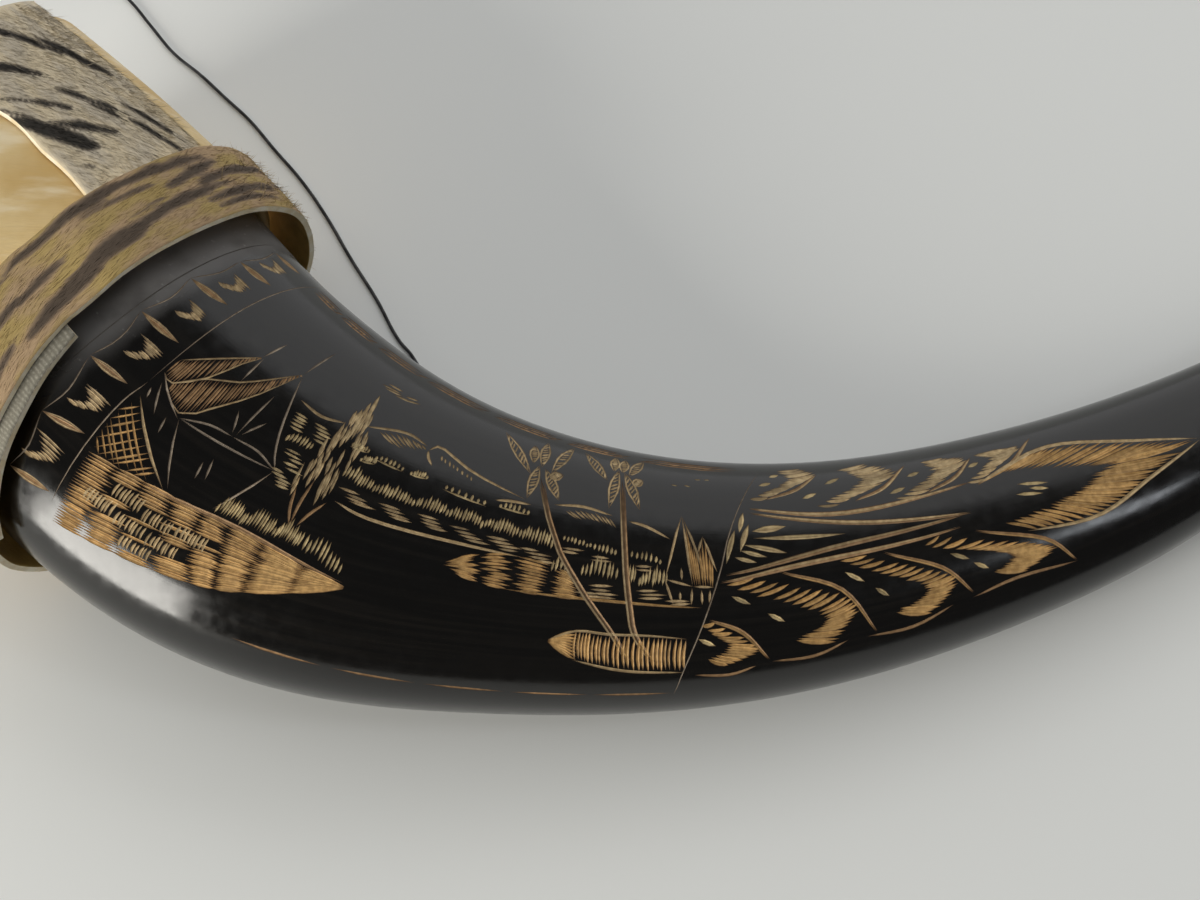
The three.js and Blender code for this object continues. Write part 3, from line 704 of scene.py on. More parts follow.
class EngravedHorn:
    """The horn's mesh: a plain grid of quads, with its front cut into triangles along the strokes."""

    STEP = 4
    TURN = 5
    COLUMNS = 360 // TURN
    FRONT = (84, 392)
    FRONT_ANGLES = (10, 170)
    SHEET = 0.6
    DEPTH_OVER_WIDTH = 0.36
    TIP_STEPS = 5
    TIP_ROUNDING = 2.0
    GROUND, CUT = 0, 1
    SPLIT_LIMIT = 1e-5
    BAKED_LENGTH = (0, 0.08, 0.92, 1)
    BAKED_TURN = (0, 0.04, 0.8, 1)

    def __init__(self, form: HornForm, strokes: Sequence[Stroke]) -> None:
        """Take the horn's form and the strokes on its front."""
        self.form = form
        self.strokes = strokes

    def build(self, materials: Sequence[bpy.types.Material]) -> bpy.types.Object:
        """Make the horn.

        Args:
            materials: The polished surface and the cuts.

        Returns:
            The finished object.
        """
        bm = bmesh.new()
        self._add_grid(bm)
        self._add_front(bm)
        bmesh.ops.remove_doubles(bm, verts=bm.verts[:], dist=MERGE_DISTANCE)
        bmesh.ops.recalc_face_normals(bm, faces=bm.faces[:])
        horn = finished_object("engraved_horn", bm, materials)
        self._smooth_ground(horn.data)
        return horn

    def _rows(self) -> list[tuple[float, float]]:
        """Rows of the grid as distance and size: the flat butt, the shaft and the rounded tip."""
        shaft_end = self.STEP * int(self.form.length // self.STEP)
        rows = [(0.0, 0.0)]
        rows += [(float(s), 1.0) for s in range(0, shaft_end + 1, self.STEP)]
        reach = self.form.length + self.TIP_ROUNDING - shaft_end
        for i in range(1, self.TIP_STEPS + 1):
            turn = math.pi / 2 * i / self.TIP_STEPS
            rows.append((shaft_end + reach * math.sin(turn), math.cos(turn)))
        return rows

    def _add_grid(self, bm: bmesh.types.BMesh) -> None:
        """Add the plain surface, all around, but without the engraved front."""
        rows = self._rows()
        sheet = ParameterGrid(bm, len(rows) - 1, self.COLUMNS)
        table = np.array(rows)
        row = np.rint(sheet.run * (len(rows) - 1)).astype(int)
        s, size = table[row].T
        angle = sheet.across * 360
        sheet.write_uv(HORN_UV, s / self.form.length, angle / 360)
        sheet.write_uv(BAKE_UV, *self._bake_place(s, angle))
        sheet.place(self.form.skin(s, angle, 0, size))
        front = [face for face in sheet.faces if self._is_front(face, s, angle)]
        bmesh.ops.delete(bm, geom=front, context="FACES")

    def _is_front(self, face: bmesh.types.BMFace, s: Array, angle: Array) -> bool:
        """Whether a face of the plain grid lies in the engraved front."""
        index = [vert.index for vert in face.verts]
        middle_s, middle_angle = s[index].mean(), angle[index].mean()
        on_length = self.FRONT[0] < middle_s < self.FRONT[1]
        return on_length and self.FRONT_ANGLES[0] < middle_angle < self.FRONT_ANGLES[1]

    def _bake_place(self, s: Array, angle: Array) -> tuple[Array, Array]:
        """Where a place lies on the baked picture, which gives the engraved front most of its room."""
        end = self.form.length + self.TIP_ROUNDING
        u = np.interp(s, (0, *self.FRONT, end), self.BAKED_LENGTH)
        v = np.interp(angle, (0, *self.FRONT_ANGLES, 360), self.BAKED_TURN)
        return u, v

    def _add_front(self, bm: bmesh.types.BMesh) -> None:
        """Add the engraved front, split into triangles along every stroke."""
        points, edges, faces = self._front_outlines()
        made = delaunay_2d_cdt(points, edges, faces, 0, self.SPLIT_LIMIT)
        places = np.array([tuple(point) for point in made[0]]) / (1, self.SHEET)
        s, angle = places.T
        depths = self._depths(places)
        skin = self.form.skin(s, angle, -depths) * MM
        depth_layer = bm.verts.layers.float.new("depth")
        verts = [bm.verts.new(point) for point in skin]
        for vert, depth in zip(verts, depths):
            vert[depth_layer] = depth
        uv_layer = bm.loops.layers.uv[HORN_UV]
        bake_layer = bm.loops.layers.uv[BAKE_UV]
        tint_layer = bm.loops.layers.float_color.new("tint")
        uv = np.stack([s / self.form.length, angle / 360], axis=1)
        bake = np.stack(self._bake_place(s, angle), axis=1)
        for corners, origins in zip(made[2], made[5]):
            face = bm.faces.new([verts[i] for i in corners])
            face.smooth = not origins
            face.material_index = self.CUT if origins else self.GROUND
            colour = (*self.strokes[max(origins)].colour, 1) if origins else (0, 0, 0, 1)
            for loop, i in zip(face.loops, corners):
                loop[uv_layer].uv = uv[i]
                loop[bake_layer].uv = bake[i]
                loop[tint_layer] = colour

    def _front_outlines(self) -> tuple[list[Vector], list[tuple[int, int]], list[list[int]]]:
        """The points, spines and outlines that the front is split along.

        Returns:
            Points on the unrolled front, edges along the strokes' spines, and the strokes' outlines.
        """
        rows = range(self.FRONT[0], self.FRONT[1] + 1, self.STEP)
        columns = range(self.FRONT_ANGLES[0], self.FRONT_ANGLES[1] + 1, self.TURN)
        points = [Vector((s, angle * self.SHEET)) for s in rows for angle in columns]
        edges: list[tuple[int, int]] = []
        faces: list[list[int]] = []
        unroll = np.array([1, self.SHEET])
        for stroke in self.strokes:
            shift = stroke.aside * stroke.half[:, None]
            inner = slice(1, -1)
            spine = stroke.line * unroll
            left = ((stroke.line + shift) * unroll)[inner]
            right = ((stroke.line - shift) * unroll)[inner]
            base, steps = len(points), len(spine)
            points += [Vector(p) for p in (*spine, *left, *right)]
            edges += [(base + i, base + i + 1) for i in range(steps - 1)]
            left_ids = range(base + steps, base + 2 * steps - 2)
            right_ids = range(base + 2 * steps - 2, base + 3 * steps - 4)
            faces.append([base, *right_ids, base + steps - 1, *reversed(left_ids)])
        return points, edges, faces

    def _depths(self, places: Array) -> Array:
        """How deep the horn is cut at each place: the deepest of the V-shaped cuts that cross there."""
        depth = np.zeros(len(places))
        for stroke in self.strokes:
            margin = 2 * stroke.half.max()
            low, high = stroke.line.min(axis=0) - margin, stroke.line.max(axis=0) + margin
            near = np.nonzero(((places >= low) & (places <= high)).all(axis=1))[0]
            middle = stroke.line[len(stroke.line) // 2]
            size = np.array([float(v) for v in self.form.scale(middle[0], middle[1])])
            spots = (places[near] - middle) * size
            line = (stroke.line - middle) * size
            for start, end, wide_start, wide_end in zip(line, line[1:], stroke.half, stroke.half[1:]):
                run = end - start
                length = max(float(run @ run), 1e-9)
                t = np.clip((spots - start) @ run / length, 0, 1)
                away = np.linalg.norm(spots - start - t[:, None] * run, axis=1)
                half = np.maximum(wide_start + (wide_end - wide_start) * t, 1e-6)
                cut = 2 * half * self.DEPTH_OVER_WIDTH * (1 - away / half)
                depth[near] = np.maximum(depth[near], cut)
        return depth

    def _smooth_ground(self, mesh: bpy.types.Mesh) -> None:
        """Give the polished ground the exact normals of the horn's form; cuts stay faceted."""
        uv = np.empty(2 * len(mesh.loops), np.float32)
        mesh.uv_layers[HORN_UV].uv.foreach_get("vector", uv)
        u, v = uv.reshape(-1, 2).T.astype(float)
        s = u * self.form.length
        normals = self.form.normal(s, v * 360)
        index = np.empty(len(mesh.polygons), np.int32)
        mesh.polygons.foreach_get("material_index", index)
        total = np.empty(len(mesh.polygons), np.int32)
        mesh.polygons.foreach_get("loop_total", total)
        plain = np.repeat(index, total) == self.CUT
        rounded = (s <= 0) | (s > self.form.length - self.STEP)
        normals[plain | rounded] = 0
        mesh.normals_split_custom_set(normals.tolist())


# Mesh helpers

class ParameterGrid:
    """A flat grid in a mesh whose corners know their share of the run and of the width."""

    def __init__(self, bm: bmesh.types.BMesh, along: int, across: int, layers: int = 1) -> None:
        """Add a grid, and with two layers also its copy above it and the walls between.

        Args:
            bm: The mesh that takes the grid.
            along: Faces along the run.
            across: Faces across the width.
            layers: One for a bare sheet, two for a closed slab.
        """
        self.bm = bm
        bmesh.ops.create_grid(bm, x_segments=along, y_segments=across, size=0.5)
        if layers == 2:
            made = bmesh.ops.extrude_face_region(bm, geom=bm.faces[:], use_keep_orig=True)
            raised = [item for item in made["geom"] if isinstance(item, bmesh.types.BMVert)]
            bmesh.ops.translate(bm, verts=raised, vec=(0, 0, 1))
        bm.verts.index_update()
        places = np.array([vert.co[:] for vert in bm.verts])
        self.run = places[:, 0] + 0.5
        self.across = places[:, 1] + 0.5
        self.layer = places[:, 2]
        self.faces = bm.faces[:]

    def write_uv(self, name: str, u: Array, v: Array) -> None:
        """Write one pair of coordinates for each corner to a UV map."""
        layer = self.bm.loops.layers.uv.new(name)
        for face in self.faces:
            for loop in face.loops:
                i = loop.vert.index
                loop[layer].uv = (u[i], v[i])

    def place(self, points: Array) -> None:
        """Move the corners to their places, given in millimetres."""
        for vert, point in zip(self.bm.verts, points * MM):
            vert.co = point


def finished_object(name: str, bm: bmesh.types.BMesh,
                    materials: Sequence[bpy.types.Material]) -> bpy.types.Object:
    """Turn a finished mesh into an object at the origin.

    Args:
        name: Name of the piece.
        bm: Its mesh, which is freed.
        materials: Its materials, in the order of its faces' material numbers.

    Returns:
        The new object, linked to the scene.
    """
    mesh = bpy.data.meshes.new(name)
    bm.to_mesh(mesh)
    bm.free()
    for material in materials:
        mesh.materials.append(material)
    piece = bpy.data.objects.new(name, mesh)
    bpy.context.scene.collection.objects.link(piece)
    return piece


def register(piece: bpy.types.Object, slot: str, *nodes: str) -> None:
    """Let a piece ride with the horn, and let it stand for CAD nodes."""
    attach(piece, BODY)
    if nodes:
        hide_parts(*nodes)
    LOG.info("%s: %s", piece.name, ", ".join(nodes) or "on its own")


# The hide wrapping

COVER_OUTER = 4.5
GAP = 0.3
THICKNESS = 1.5


class RawhideCover:
    """The smooth rawhide cover over the butt, closed by a rounded end."""

    MOUTH = 70.0
    CROWN = 6.0
    INNER = 0.6
    COLUMNS = 120
    STEP = 2.5
    CROWN_STEPS = 8
    INNER_ROWS = (50.0, 25.0)
    DENT = 0.35
    DENT_LENGTH = 22

    def __init__(self, form: HornForm) -> None:
        """Take the form of the horn that it covers."""
        self.form = form

    def _profile(self) -> Array:
        """Rows from the crown over the outside and the mouth to the inside: distance, height and size."""
        rows = []
        for i in range(self.CROWN_STEPS + 1):
            turn = math.pi / 2 * i / self.CROWN_STEPS
            rows.append((-self.CROWN * math.cos(turn), COVER_OUTER, math.sin(turn)))
        rows += [(s, COVER_OUTER, 1.0) for s in np.arange(self.STEP, self.MOUTH, self.STEP)]
        wall = (COVER_OUTER - self.INNER) / 2
        for turn in np.radians((90, 45, 0, -45, -90)):
            lip = self.MOUTH - wall + wall * math.cos(turn)
            rows.append((lip, self.INNER + wall + wall * math.sin(turn), 1.0))
        rows += [(s, self.INNER, 1.0) for s in (*self.INNER_ROWS, -self.INNER)]
        rows.append((-self.INNER, self.INNER, 0.0))
        return np.array(rows)

    def build(self, material: bpy.types.Material) -> bpy.types.Object:
        """Make the cover and return it."""
        profile = self._profile()
        bm = bmesh.new()
        sheet = ParameterGrid(bm, len(profile) - 1, self.COLUMNS)
        row = np.rint(sheet.run * (len(profile) - 1)).astype(int)
        s, height, size = profile[row].T
        angle = sheet.across * 360
        turn = np.radians(angle)
        dents = ripple(s / self.DENT_LENGTH, np.sin(turn) * 2.2 + np.cos(turn) * 3.1, 3.5)
        height = height - self.DENT * np.abs(dents) * (height > COVER_OUTER - 0.1)
        sheet.write_uv(HORN_UV, s / self.form.length, angle / 360)
        sheet.write_uv(BAKE_UV, sheet.run, sheet.across)
        sheet.place(self.form.skin(s, angle, height, size))
        bmesh.ops.remove_doubles(bm, verts=bm.verts[:], dist=MERGE_DISTANCE)
        bmesh.ops.recalc_face_normals(bm, faces=bm.faces[:])
        for face in bm.faces:
            face.smooth = True
        return finished_object("rawhide_cover_skin", bm, [material])


@dataclass(frozen=True)
class Streak:
    """A streak of dark hair between two places on a strap, with half its width."""

    start: Place
    end: Place
    half: float


@dataclass
class HideStrap:
    """A flat strap of hide: hair outside, flesh inside, and cut edges.

    A place on a strap is given by two coordinates, one along it and one across.
    """

    form: HornForm
    name: str = ""
    along: tuple[float, float] = (0.0, 1.0)
    across: tuple[float, float] = (0.0, 1.0)
    steps: tuple[int, int] = (1, 1)
    streaks: tuple[Streak, ...] = ()
    lay: Place = (1.0, 0.0)
    ring: bool = False
    seed: int = 1
    hairs: int = 0
    hair_length: tuple[float, float] = (2.5, 5.0)
    loose: float = 0.10

    HAIR_SIDE, FLESH_SIDE, EDGE = 0, 1, 2
    UV_SIZE = 100
    BAKED_FACE = 0.44
    BAKED_SIDES, BAKED_ENDS = 0.45, 0.95
    BAKED_STEP, BAKED_WALL = 0.022, 0.018
    BARE_EDGE, OVERHANG = 0.3, 1.5
    HAIR_WIDTH = (0.05, 0.09)
    FLAT_RISE, LOOSE_RISE = (0.05, 0.3), (0.8, 3.0)
    FLAT_STRAY, LOOSE_STRAY = 0.13, 0.5
    ROOT_DEPTH, FLOOR_ROOM = 0.1, 1.2
    DARK_STRAY = 0.16

    def lie(self, x: Array, y: Array) -> tuple[Array, Array, Array]:
        """Where a place on the strap lies on the horn: distance, angle and height of the flesh side."""
        raise NotImplementedError

    def swell(self, x: Array, y: Array) -> Array:
        """Small unevenness of the hair side, in millimetres."""
        return 0.25 * ripple(x / 9, y / 7, self.seed)

    def unruly(self, x: Array, y: Array) -> Array:
        """Where single hairs stand up, from 0 to 1."""
        return np.ones(np.shape(x))

    def dark(self, x: Array, y: Array) -> Array:
        """How dark the hair is at each place, from 0 to 1."""
        wander = 1.2 * ripple(x / 7, y / 2.5, self.seed + 0.5)
        shade = np.zeros(np.shape(x))
        for streak in self.streaks:
            start, end = np.array(streak.start), np.array(streak.end)
            run = end - start
            spots = np.stack([x, y], axis=-1) - start
            t = np.clip(spots @ run / (run @ run), 0, 1)
            away = np.linalg.norm(spots - t[..., None] * run, axis=-1)
            taper = 0.35 + 0.65 * np.sqrt(np.clip(4 * t * (1 - t), 0, 1))
            soft = smooth_step(away + wander * 0.8, streak.half * taper + 0.9, streak.half * taper - 0.9)
            shade = np.maximum(shade, soft)
        return shade

    def build(self, materials: Sequence[bpy.types.Material]) -> bpy.types.Object:
        """Make the strap.

        Args:
            materials: Hair side, flesh side and cut edge.

        Returns:
            The finished object.
        """
        bm = bmesh.new()
        slab = ParameterGrid(bm, *self.steps, layers=2)
        x = self.along[0] + (self.along[1] - self.along[0]) * slab.run
        y = self.across[0] + (self.across[1] - self.across[0]) * slab.across
        s, angle, height = self.lie(x, y)
        hairy = slab.layer > 0.5
        height = height + np.where(hairy, THICKNESS + self.swell(x, y), 0)
        slab.write_uv("hide", x / self.UV_SIZE, y / self.UV_SIZE)
        slab.write_uv(BAKE_UV, slab.run, slab.across * self.BAKED_FACE + 0.5 * slab.layer)
        dark_layer = bm.verts.layers.float.new("dark")
        for vert, value in zip(bm.verts, self.dark(x, y)):
            vert[dark_layer] = value
        self._sort_faces(slab)
        self._unfold_walls(slab)
        slab.place(self.form.skin(s, angle, height))
        if self.ring:
            seam = [face for face in bm.faces if self._is_end_wall(face, slab.run)]
            bmesh.ops.delete(bm, geom=seam, context="FACES")
        bmesh.ops.remove_doubles(bm, verts=bm.verts[:], dist=MERGE_DISTANCE)
        bmesh.ops.recalc_face_normals(bm, faces=bm.faces[:])
        return finished_object(self.name, bm, materials)

    @staticmethod
    def _is_end_wall(face: bmesh.types.BMFace, run: Array) -> bool:
        """Whether a face closes the strap's start or end."""
        shares = run[[vert.index for vert in face.verts]]
        return bool((shares < 1e-6).all() or (shares > 1 - 1e-6).all())

    def _sort_faces(self, slab: ParameterGrid) -> None:
        """Mark the faces as hair side, flesh side or cut edge."""
        for face in slab.faces:
            layers = slab.layer[[vert.index for vert in face.verts]]
            if layers.min() > 0.5:
                face.material_index = self.HAIR_SIDE
            elif layers.max() < 0.5:
                face.material_index = self.FLESH_SIDE
            else:
                face.material_index = self.EDGE
            face.smooth = face.material_index != self.EDGE

    def _unfold_walls(self, slab: ParameterGrid) -> None:
        """Give each wall of the strap its own strip of the baked picture."""
        layer = slab.bm.loops.layers.uv[BAKE_UV]
        for face in slab.faces:
            if face.material_index != self.EDGE:
                continue
            index = [vert.index for vert in face.verts]
            share, other, base = slab.across, slab.run, self.BAKED_ENDS
            if np.ptp(slab.across[index]) < 1e-6:
                share, other, base = slab.run, slab.across, self.BAKED_SIDES
            base += self.BAKED_STEP if other[index].mean() > 0.5 else 0
            for loop, i in zip(face.loops, index):
                loop[layer].uv = (share[i], base + self.BAKED_WALL * slab.layer[i])

    def build_hair(self, material: bpy.types.Material) -> bpy.types.Object:
        """Make the short hair that lies on the strap.

        Args:
            material: The hair's finish.

        Returns:
            The finished object, with one closed, tapered spike for each hair.
        """
        draw = np.random.default_rng(self.seed)
        count = self.hairs
        x = draw.uniform(*self.along, count)
        low, high = min(self.across), max(self.across)
        y = draw.uniform(low + self.BARE_EDGE, high - self.BARE_EDGE, count)
        lay = math.atan2(self.lay[1], self.lay[0]) + draw.normal(0, self.FLAT_STRAY, count)
        loose = draw.random(count) < self.loose * self.unruly(x, y)
        lay = lay + np.where(loose, draw.normal(0, self.LOOSE_STRAY, count), 0)
        length = draw.uniform(*self.hair_length, count)
        raised = draw.uniform(*self.LOOSE_RISE, count)
        rise = np.where(loose, raised, draw.uniform(*self.FLAT_RISE, count))
        width = draw.uniform(*self.HAIR_WIDTH, count)
        ends = []
        for share in (0.0, 0.5, 1.0):
            reach = length * share
            px, py = x + np.cos(lay) * reach, y + np.sin(lay) * reach
            s, angle, height = self.lie(px, np.clip(py, low - self.OVERHANG, high + self.OVERHANG))
            lift = height + THICKNESS + self.swell(px, py) - self.ROOT_DEPTH + rise * share ** 1.5
            ends.append(self.form.skin(s, angle, lift))
        keep = np.minimum(ends[0][:, 2], ends[2][:, 2]) > self.FLOOR_ROOM
        spikes = HairSpikes(ends[0][keep], ends[1][keep], ends[2][keep], width[keep])
        dark = np.clip(self.dark(x, y) + draw.normal(0, self.DARK_STRAY, count), 0, 1)[keep]
        shade = draw.random(count)[keep]
        place = np.stack([x, y], axis=1)[keep] / self.UV_SIZE
        return spikes.build(self.name + "_hair", material, place, dark, shade)


class HairSpikes:
    """Many closed, three-sided hairs, each from its root over a bend to its tip."""

    FACES = ((0, 1, 4, 3), (1, 2, 5, 4), (2, 0, 3, 5), (3, 4, 6), (4, 5, 6), (5, 3, 6), (2, 1, 0))
    CORNERS = 7
    BAKED_CORNERS = ((0, 0), (1, 0), (0, 1), (0, 0), (1, 0), (0, 1), (1, 1))
    BAKED_SIZE = 0.002
    BEND_WIDTH = 0.8

    def __init__(self, root: Array, bend: Array, tip: Array, width: Array) -> None:
        """Take the points along the hairs in millimetres, and half their width at the root."""
        run = tip - root
        run /= np.linalg.norm(run, axis=1)[:, None]
        side = np.cross(run, (0.0, 0.0, 1.0))
        side /= np.maximum(np.linalg.norm(side, axis=1), 1e-6)[:, None]
        over = np.cross(side, run)
        corners = []
        for centre, share in ((root, 1.0), (bend, self.BEND_WIDTH)):
            for turn in np.radians((90, 210, 330)):
                offset = side * math.cos(turn) + over * math.sin(turn)
                corners.append(centre + offset * (width * share)[:, None])
        corners.append(tip)
        self.points = np.stack(corners, axis=1).reshape(-1, 3)

    def build(self, name: str, material: bpy.types.Material, place: Array, dark: Array,
              shade: Array) -> bpy.types.Object:
        """Make one mesh of all the hairs.

        Args:
            name: Name of the piece.
            material: The hair's finish.
            place: Each hair's place on its strap, for the UV map.
            dark: How dark each hair is.
            shade: A random number for each hair.

        Returns:
            The finished object.
        """
        count = len(place)
        base = np.arange(count) * self.CORNERS
        faces = [[int(b) + i for i in face] for b in base for face in self.FACES]
        mesh = bpy.data.meshes.new(name)
        mesh.from_pydata((self.points * MM).tolist(), [], faces)
        for label, values in (("dark", dark), ("shade", shade)):
            layer = mesh.attributes.new(label, "FLOAT", "POINT")
            layer.data.foreach_set("value", np.repeat(values, self.CORNERS).astype(np.float32))
        corner = np.array([loop.vertex_index for loop in mesh.loops])
        spread = np.array(self.BAKED_CORNERS) * self.BAKED_SIZE
        for label, wide in (("hide", 0.0), (BAKE_UV, 1.0)):
            uv = np.repeat(place, self.CORNERS, axis=0) + np.tile(spread * wide, (count, 1))
            if wide:
                uv = (uv - uv.min(axis=0)) / np.ptp(uv, axis=0)
            corners = uv[corner].astype(np.float32).ravel()
            mesh.uv_layers.new(name=label).uv.foreach_set("vector", corners)
        mesh.materials.append(material)
        mesh.polygons.foreach_set("use_smooth", np.ones(len(mesh.polygons), bool))
        piece = bpy.data.objects.new(name, mesh)
        bpy.context.scene.collection.objects.link(piece)
        return piece


@dataclass
class LongStrap(HideStrap):
    """The strap that runs along the butt: x is the distance along the horn, y the angle around it."""

    name: str = "hide_strap_long_skin"
    along: tuple[float, float] = (-4.0, 66.0)
    across: tuple[float, float] = (35.0, 76.0)
    steps: tuple[int, int] = (70, 44)
    lay: Place = (1.0, -0.55)
    seed: int = 11
    hairs: int = 12000
    streaks: tuple[Streak, ...] = (
        Streak((29, 76.5), (49, 65), 2.4), Streak((36, 70), (47, 57), 1.3),
        Streak((36, 56), (44, 52), 0.9), Streak((45, 50), (58, 43.5), 1.1),
        Streak((24, 77), (31, 73), 0.9), Streak((51, 72), (53, 70), 0.5),
        Streak((22, 74), (35, 62), 0.8), Streak((28, 60), (42, 50), 0.9),
        Streak((40, 47), (52, 41), 1.2), Streak((8, 72), (22, 60), 1.8),
        Streak((0, 60), (18, 48), 1.4), Streak((10, 50), (30, 40), 1.6),
        Streak((-2, 74), (8, 66), 1.0),
    )

    def unruly(self, x: Array, y: Array) -> Array:
        """Single hairs stand up along the upper side."""
        return smooth_step(y, 50, 38)

    def lie(self, x: Array, y: Array) -> tuple[Array, Array, Array]:
        """Where a place on the strap lies on the horn."""
        edge = smooth_step(y, 68, 76) * ripple(x / 14, np.zeros_like(x), 4.2)
        return x, y + 1.3 * edge, np.full(np.shape(x), COVER_OUTER + GAP)


@dataclass
class RingStrap(HideStrap):
    """The strap around the cover's mouth: x is the angle around the horn, y the distance from the mouth."""

    name: str = "hide_strap_ring_skin"
    along: tuple[float, float] = (0.0, 360.0)
    across: tuple[float, float] = (0.0, 23.0)
    steps: tuple[int, int] = (240, 26)
    lay: Place = (-1.0, 0.1)
    ring: bool = True
    seed: int = 23
    hairs: int = 19000
    mouth: float = 83.0
    slant: float = 17.0
    slant_angles: tuple[float, float] = (95.0, 330.0)
    stand_off: float = 0.8
    over_angles: tuple[float, ...] = (94.0, 82.0, -85.0, -35.0)
    off_angles: tuple[float, ...] = (55.0, 15.0, -70.0, -25.0)
    streaks: tuple[Streak, ...] = (
        Streak((42, 20), (70, 21), 1.3), Streak((66, 21.2), (98, 20.5), 1.3),
        Streak((96, 20.5), (124, 15), 1.2), Streak((20, 9), (52, 6.2), 1.5),
        Streak((28, 15.5), (50, 12.5), 1.6), Streak((38, 18), (60, 14.5), 1.2),
        Streak((40, 10.5), (62, 9), 1.1), Streak((18, 16), (36, 14), 1.2),
        Streak((24, 4.5), (50, 3.8), 0.8), Streak((54, 10.2), (74, 8.2), 1.8),
        Streak((70, 8), (92, 6.2), 2.4), Streak((84, 5.2), (104, 3.8), 1.9),
        Streak((62, 17), (82, 18.3), 0.7), Streak((62, 12.6), (73, 11.2), 0.8),
        Streak((88, 13), (101, 11.6), 0.9), Streak((100, 13), (112, 12.2), 0.9),
        Streak((4, 12), (20, 10), 1.4), Streak((108, 6), (124, 4), 1.0),
    )

    def lie(self, x: Array, y: Array) -> tuple[Array, Array, Array]:
        """Where a place on the strap lies on the horn."""
        x = np.mod(x, 360)
        t = (x - self.slant_angles[0]) / (self.slant_angles[1] - self.slant_angles[0])
        turn = np.radians(x)
        wave = 0.8 * ripple(2.6 * np.cos(turn), 2.6 * np.sin(turn), 7.7)
        edge = self.mouth + self.slant * np.sin(np.pi * np.clip(t, 0, 1)) + wave
        return edge - y, x, self.height(x)

    def height(self, angle: Array) -> Array:
        """Height of the flesh side: the strap climbs over the long strap and stands off past it."""
        turned = np.where(angle > 180, angle - 360, angle)
        rises = ((THICKNESS + GAP, self.over_angles), (self.stand_off, self.off_angles))
        height = COVER_OUTER + GAP
        for rise, (a, b, c, d) in rises:
            height = height + rise * smooth_step(turned, a, b) * smooth_step(turned, c, d)
        return height

    def unruly(self, x: Array, y: Array) -> Array:
        """Single hairs stand up along the upper side."""
        return smooth_step(np.abs(np.mod(x + 180, 360) - 190), 45, 20)

    def dark(self, x: Array, y: Array) -> Array:
        """How dark the hair is: the drawn streaks in front, softer ones around the back."""
        x = np.mod(x, 360)
        behind = smooth_step(x, 118, 135) * smooth_step(x, 359, 345)
        soft = smooth_step(ripple(x / 26, y / 4 + x / 90, 9.1), 0.08, 0.4)
        return np.maximum(super().dark(x, y), 0.85 * behind * soft)


@dataclass
class StrapEnd(HideStrap):
    """The grey end of a strap that shows under the ring strap: x is the angle, y the place across it."""

    name: str = "hide_strap_end_skin"
    along: tuple[float, float] = (96.0, 165.0)
    across: tuple[float, float] = (0.0, 15.5)
    steps: tuple[int, int] = (70, 16)
    seed: int = 31
    ahead: float = 3.5
    height: float = 3.0
    guide: RingStrap | None = None

    def lie(self, x: Array, y: Array) -> tuple[Array, Array, Array]:
        """Where a place on the strap end lies on the horn."""
        edge, angle, _ = self.guide.lie(x, np.zeros_like(x))
        return edge + self.ahead - y, angle, np.full(np.shape(x), self.height)

    def swell(self, x: Array, y: Array) -> Array:
        """The fine ribs of the short grey hair."""
        return 0.12 * np.sin(x * 3.1) + 0.1 * ripple(x / 3, y / 3, self.seed)


# The hanging wire

@dataclass(frozen=True)
class HangingWire:
    """The thin wire that lies on the floor behind the horn."""

    diameter: float = 1.0
    height: float = 0.55
    length: float = 346.0
    route: tuple[tuple[float, ...], ...] = (
        (-73, -55, 0.75), (-75, -44), (-78, -31), (-82, -17), (-90, 0), (-94, 5), (-101, 18),
        (-109, 31), (-117, 45), (-125, 57), (-134, 68), (-142, 78), (-150, 86), (-158, 94),
        (-167, 102), (-175, 112), (-183, 122), (-192, 130), (-204, 134), (-217, 131), (-227, 122),
        (-231, 109), (-230, 96), (-226, 84), (-220, 73), (-215, 64, 0.8), (-210, 55, 1.8), (-204, 46, 3),
    )

    def build(self, material: bpy.types.Material) -> bpy.types.Object:
        """Args:
            material: The wire's finish.

        Returns:
            The curve object.
        """
        curve = bpy.data.curves.new("hanging_wire_curve", "CURVE")
        curve.dimensions = "3D"
        curve.bevel_depth = self.diameter / 2 * MM
        curve.bevel_resolution = 3
        curve.resolution_u = 8
        curve.use_fill_caps = True
        spline = curve.splines.new("BEZIER")
        spline.bezier_points.add(len(self.route) - 1)
        for point, place in zip(spline.bezier_points, self.route):
            height = place[2] if len(place) == 3 else self.height
            point.co = Vector((place[0], place[1], height)) * MM
            point.handle_left_type = "AUTO"
            point.handle_right_type = "AUTO"
        curve.materials.append(material)
        wire = bpy.data.objects.new("hanging_wire_curve", curve)
        bpy.context.scene.collection.objects.link(wire)
        return wire


# Finishes

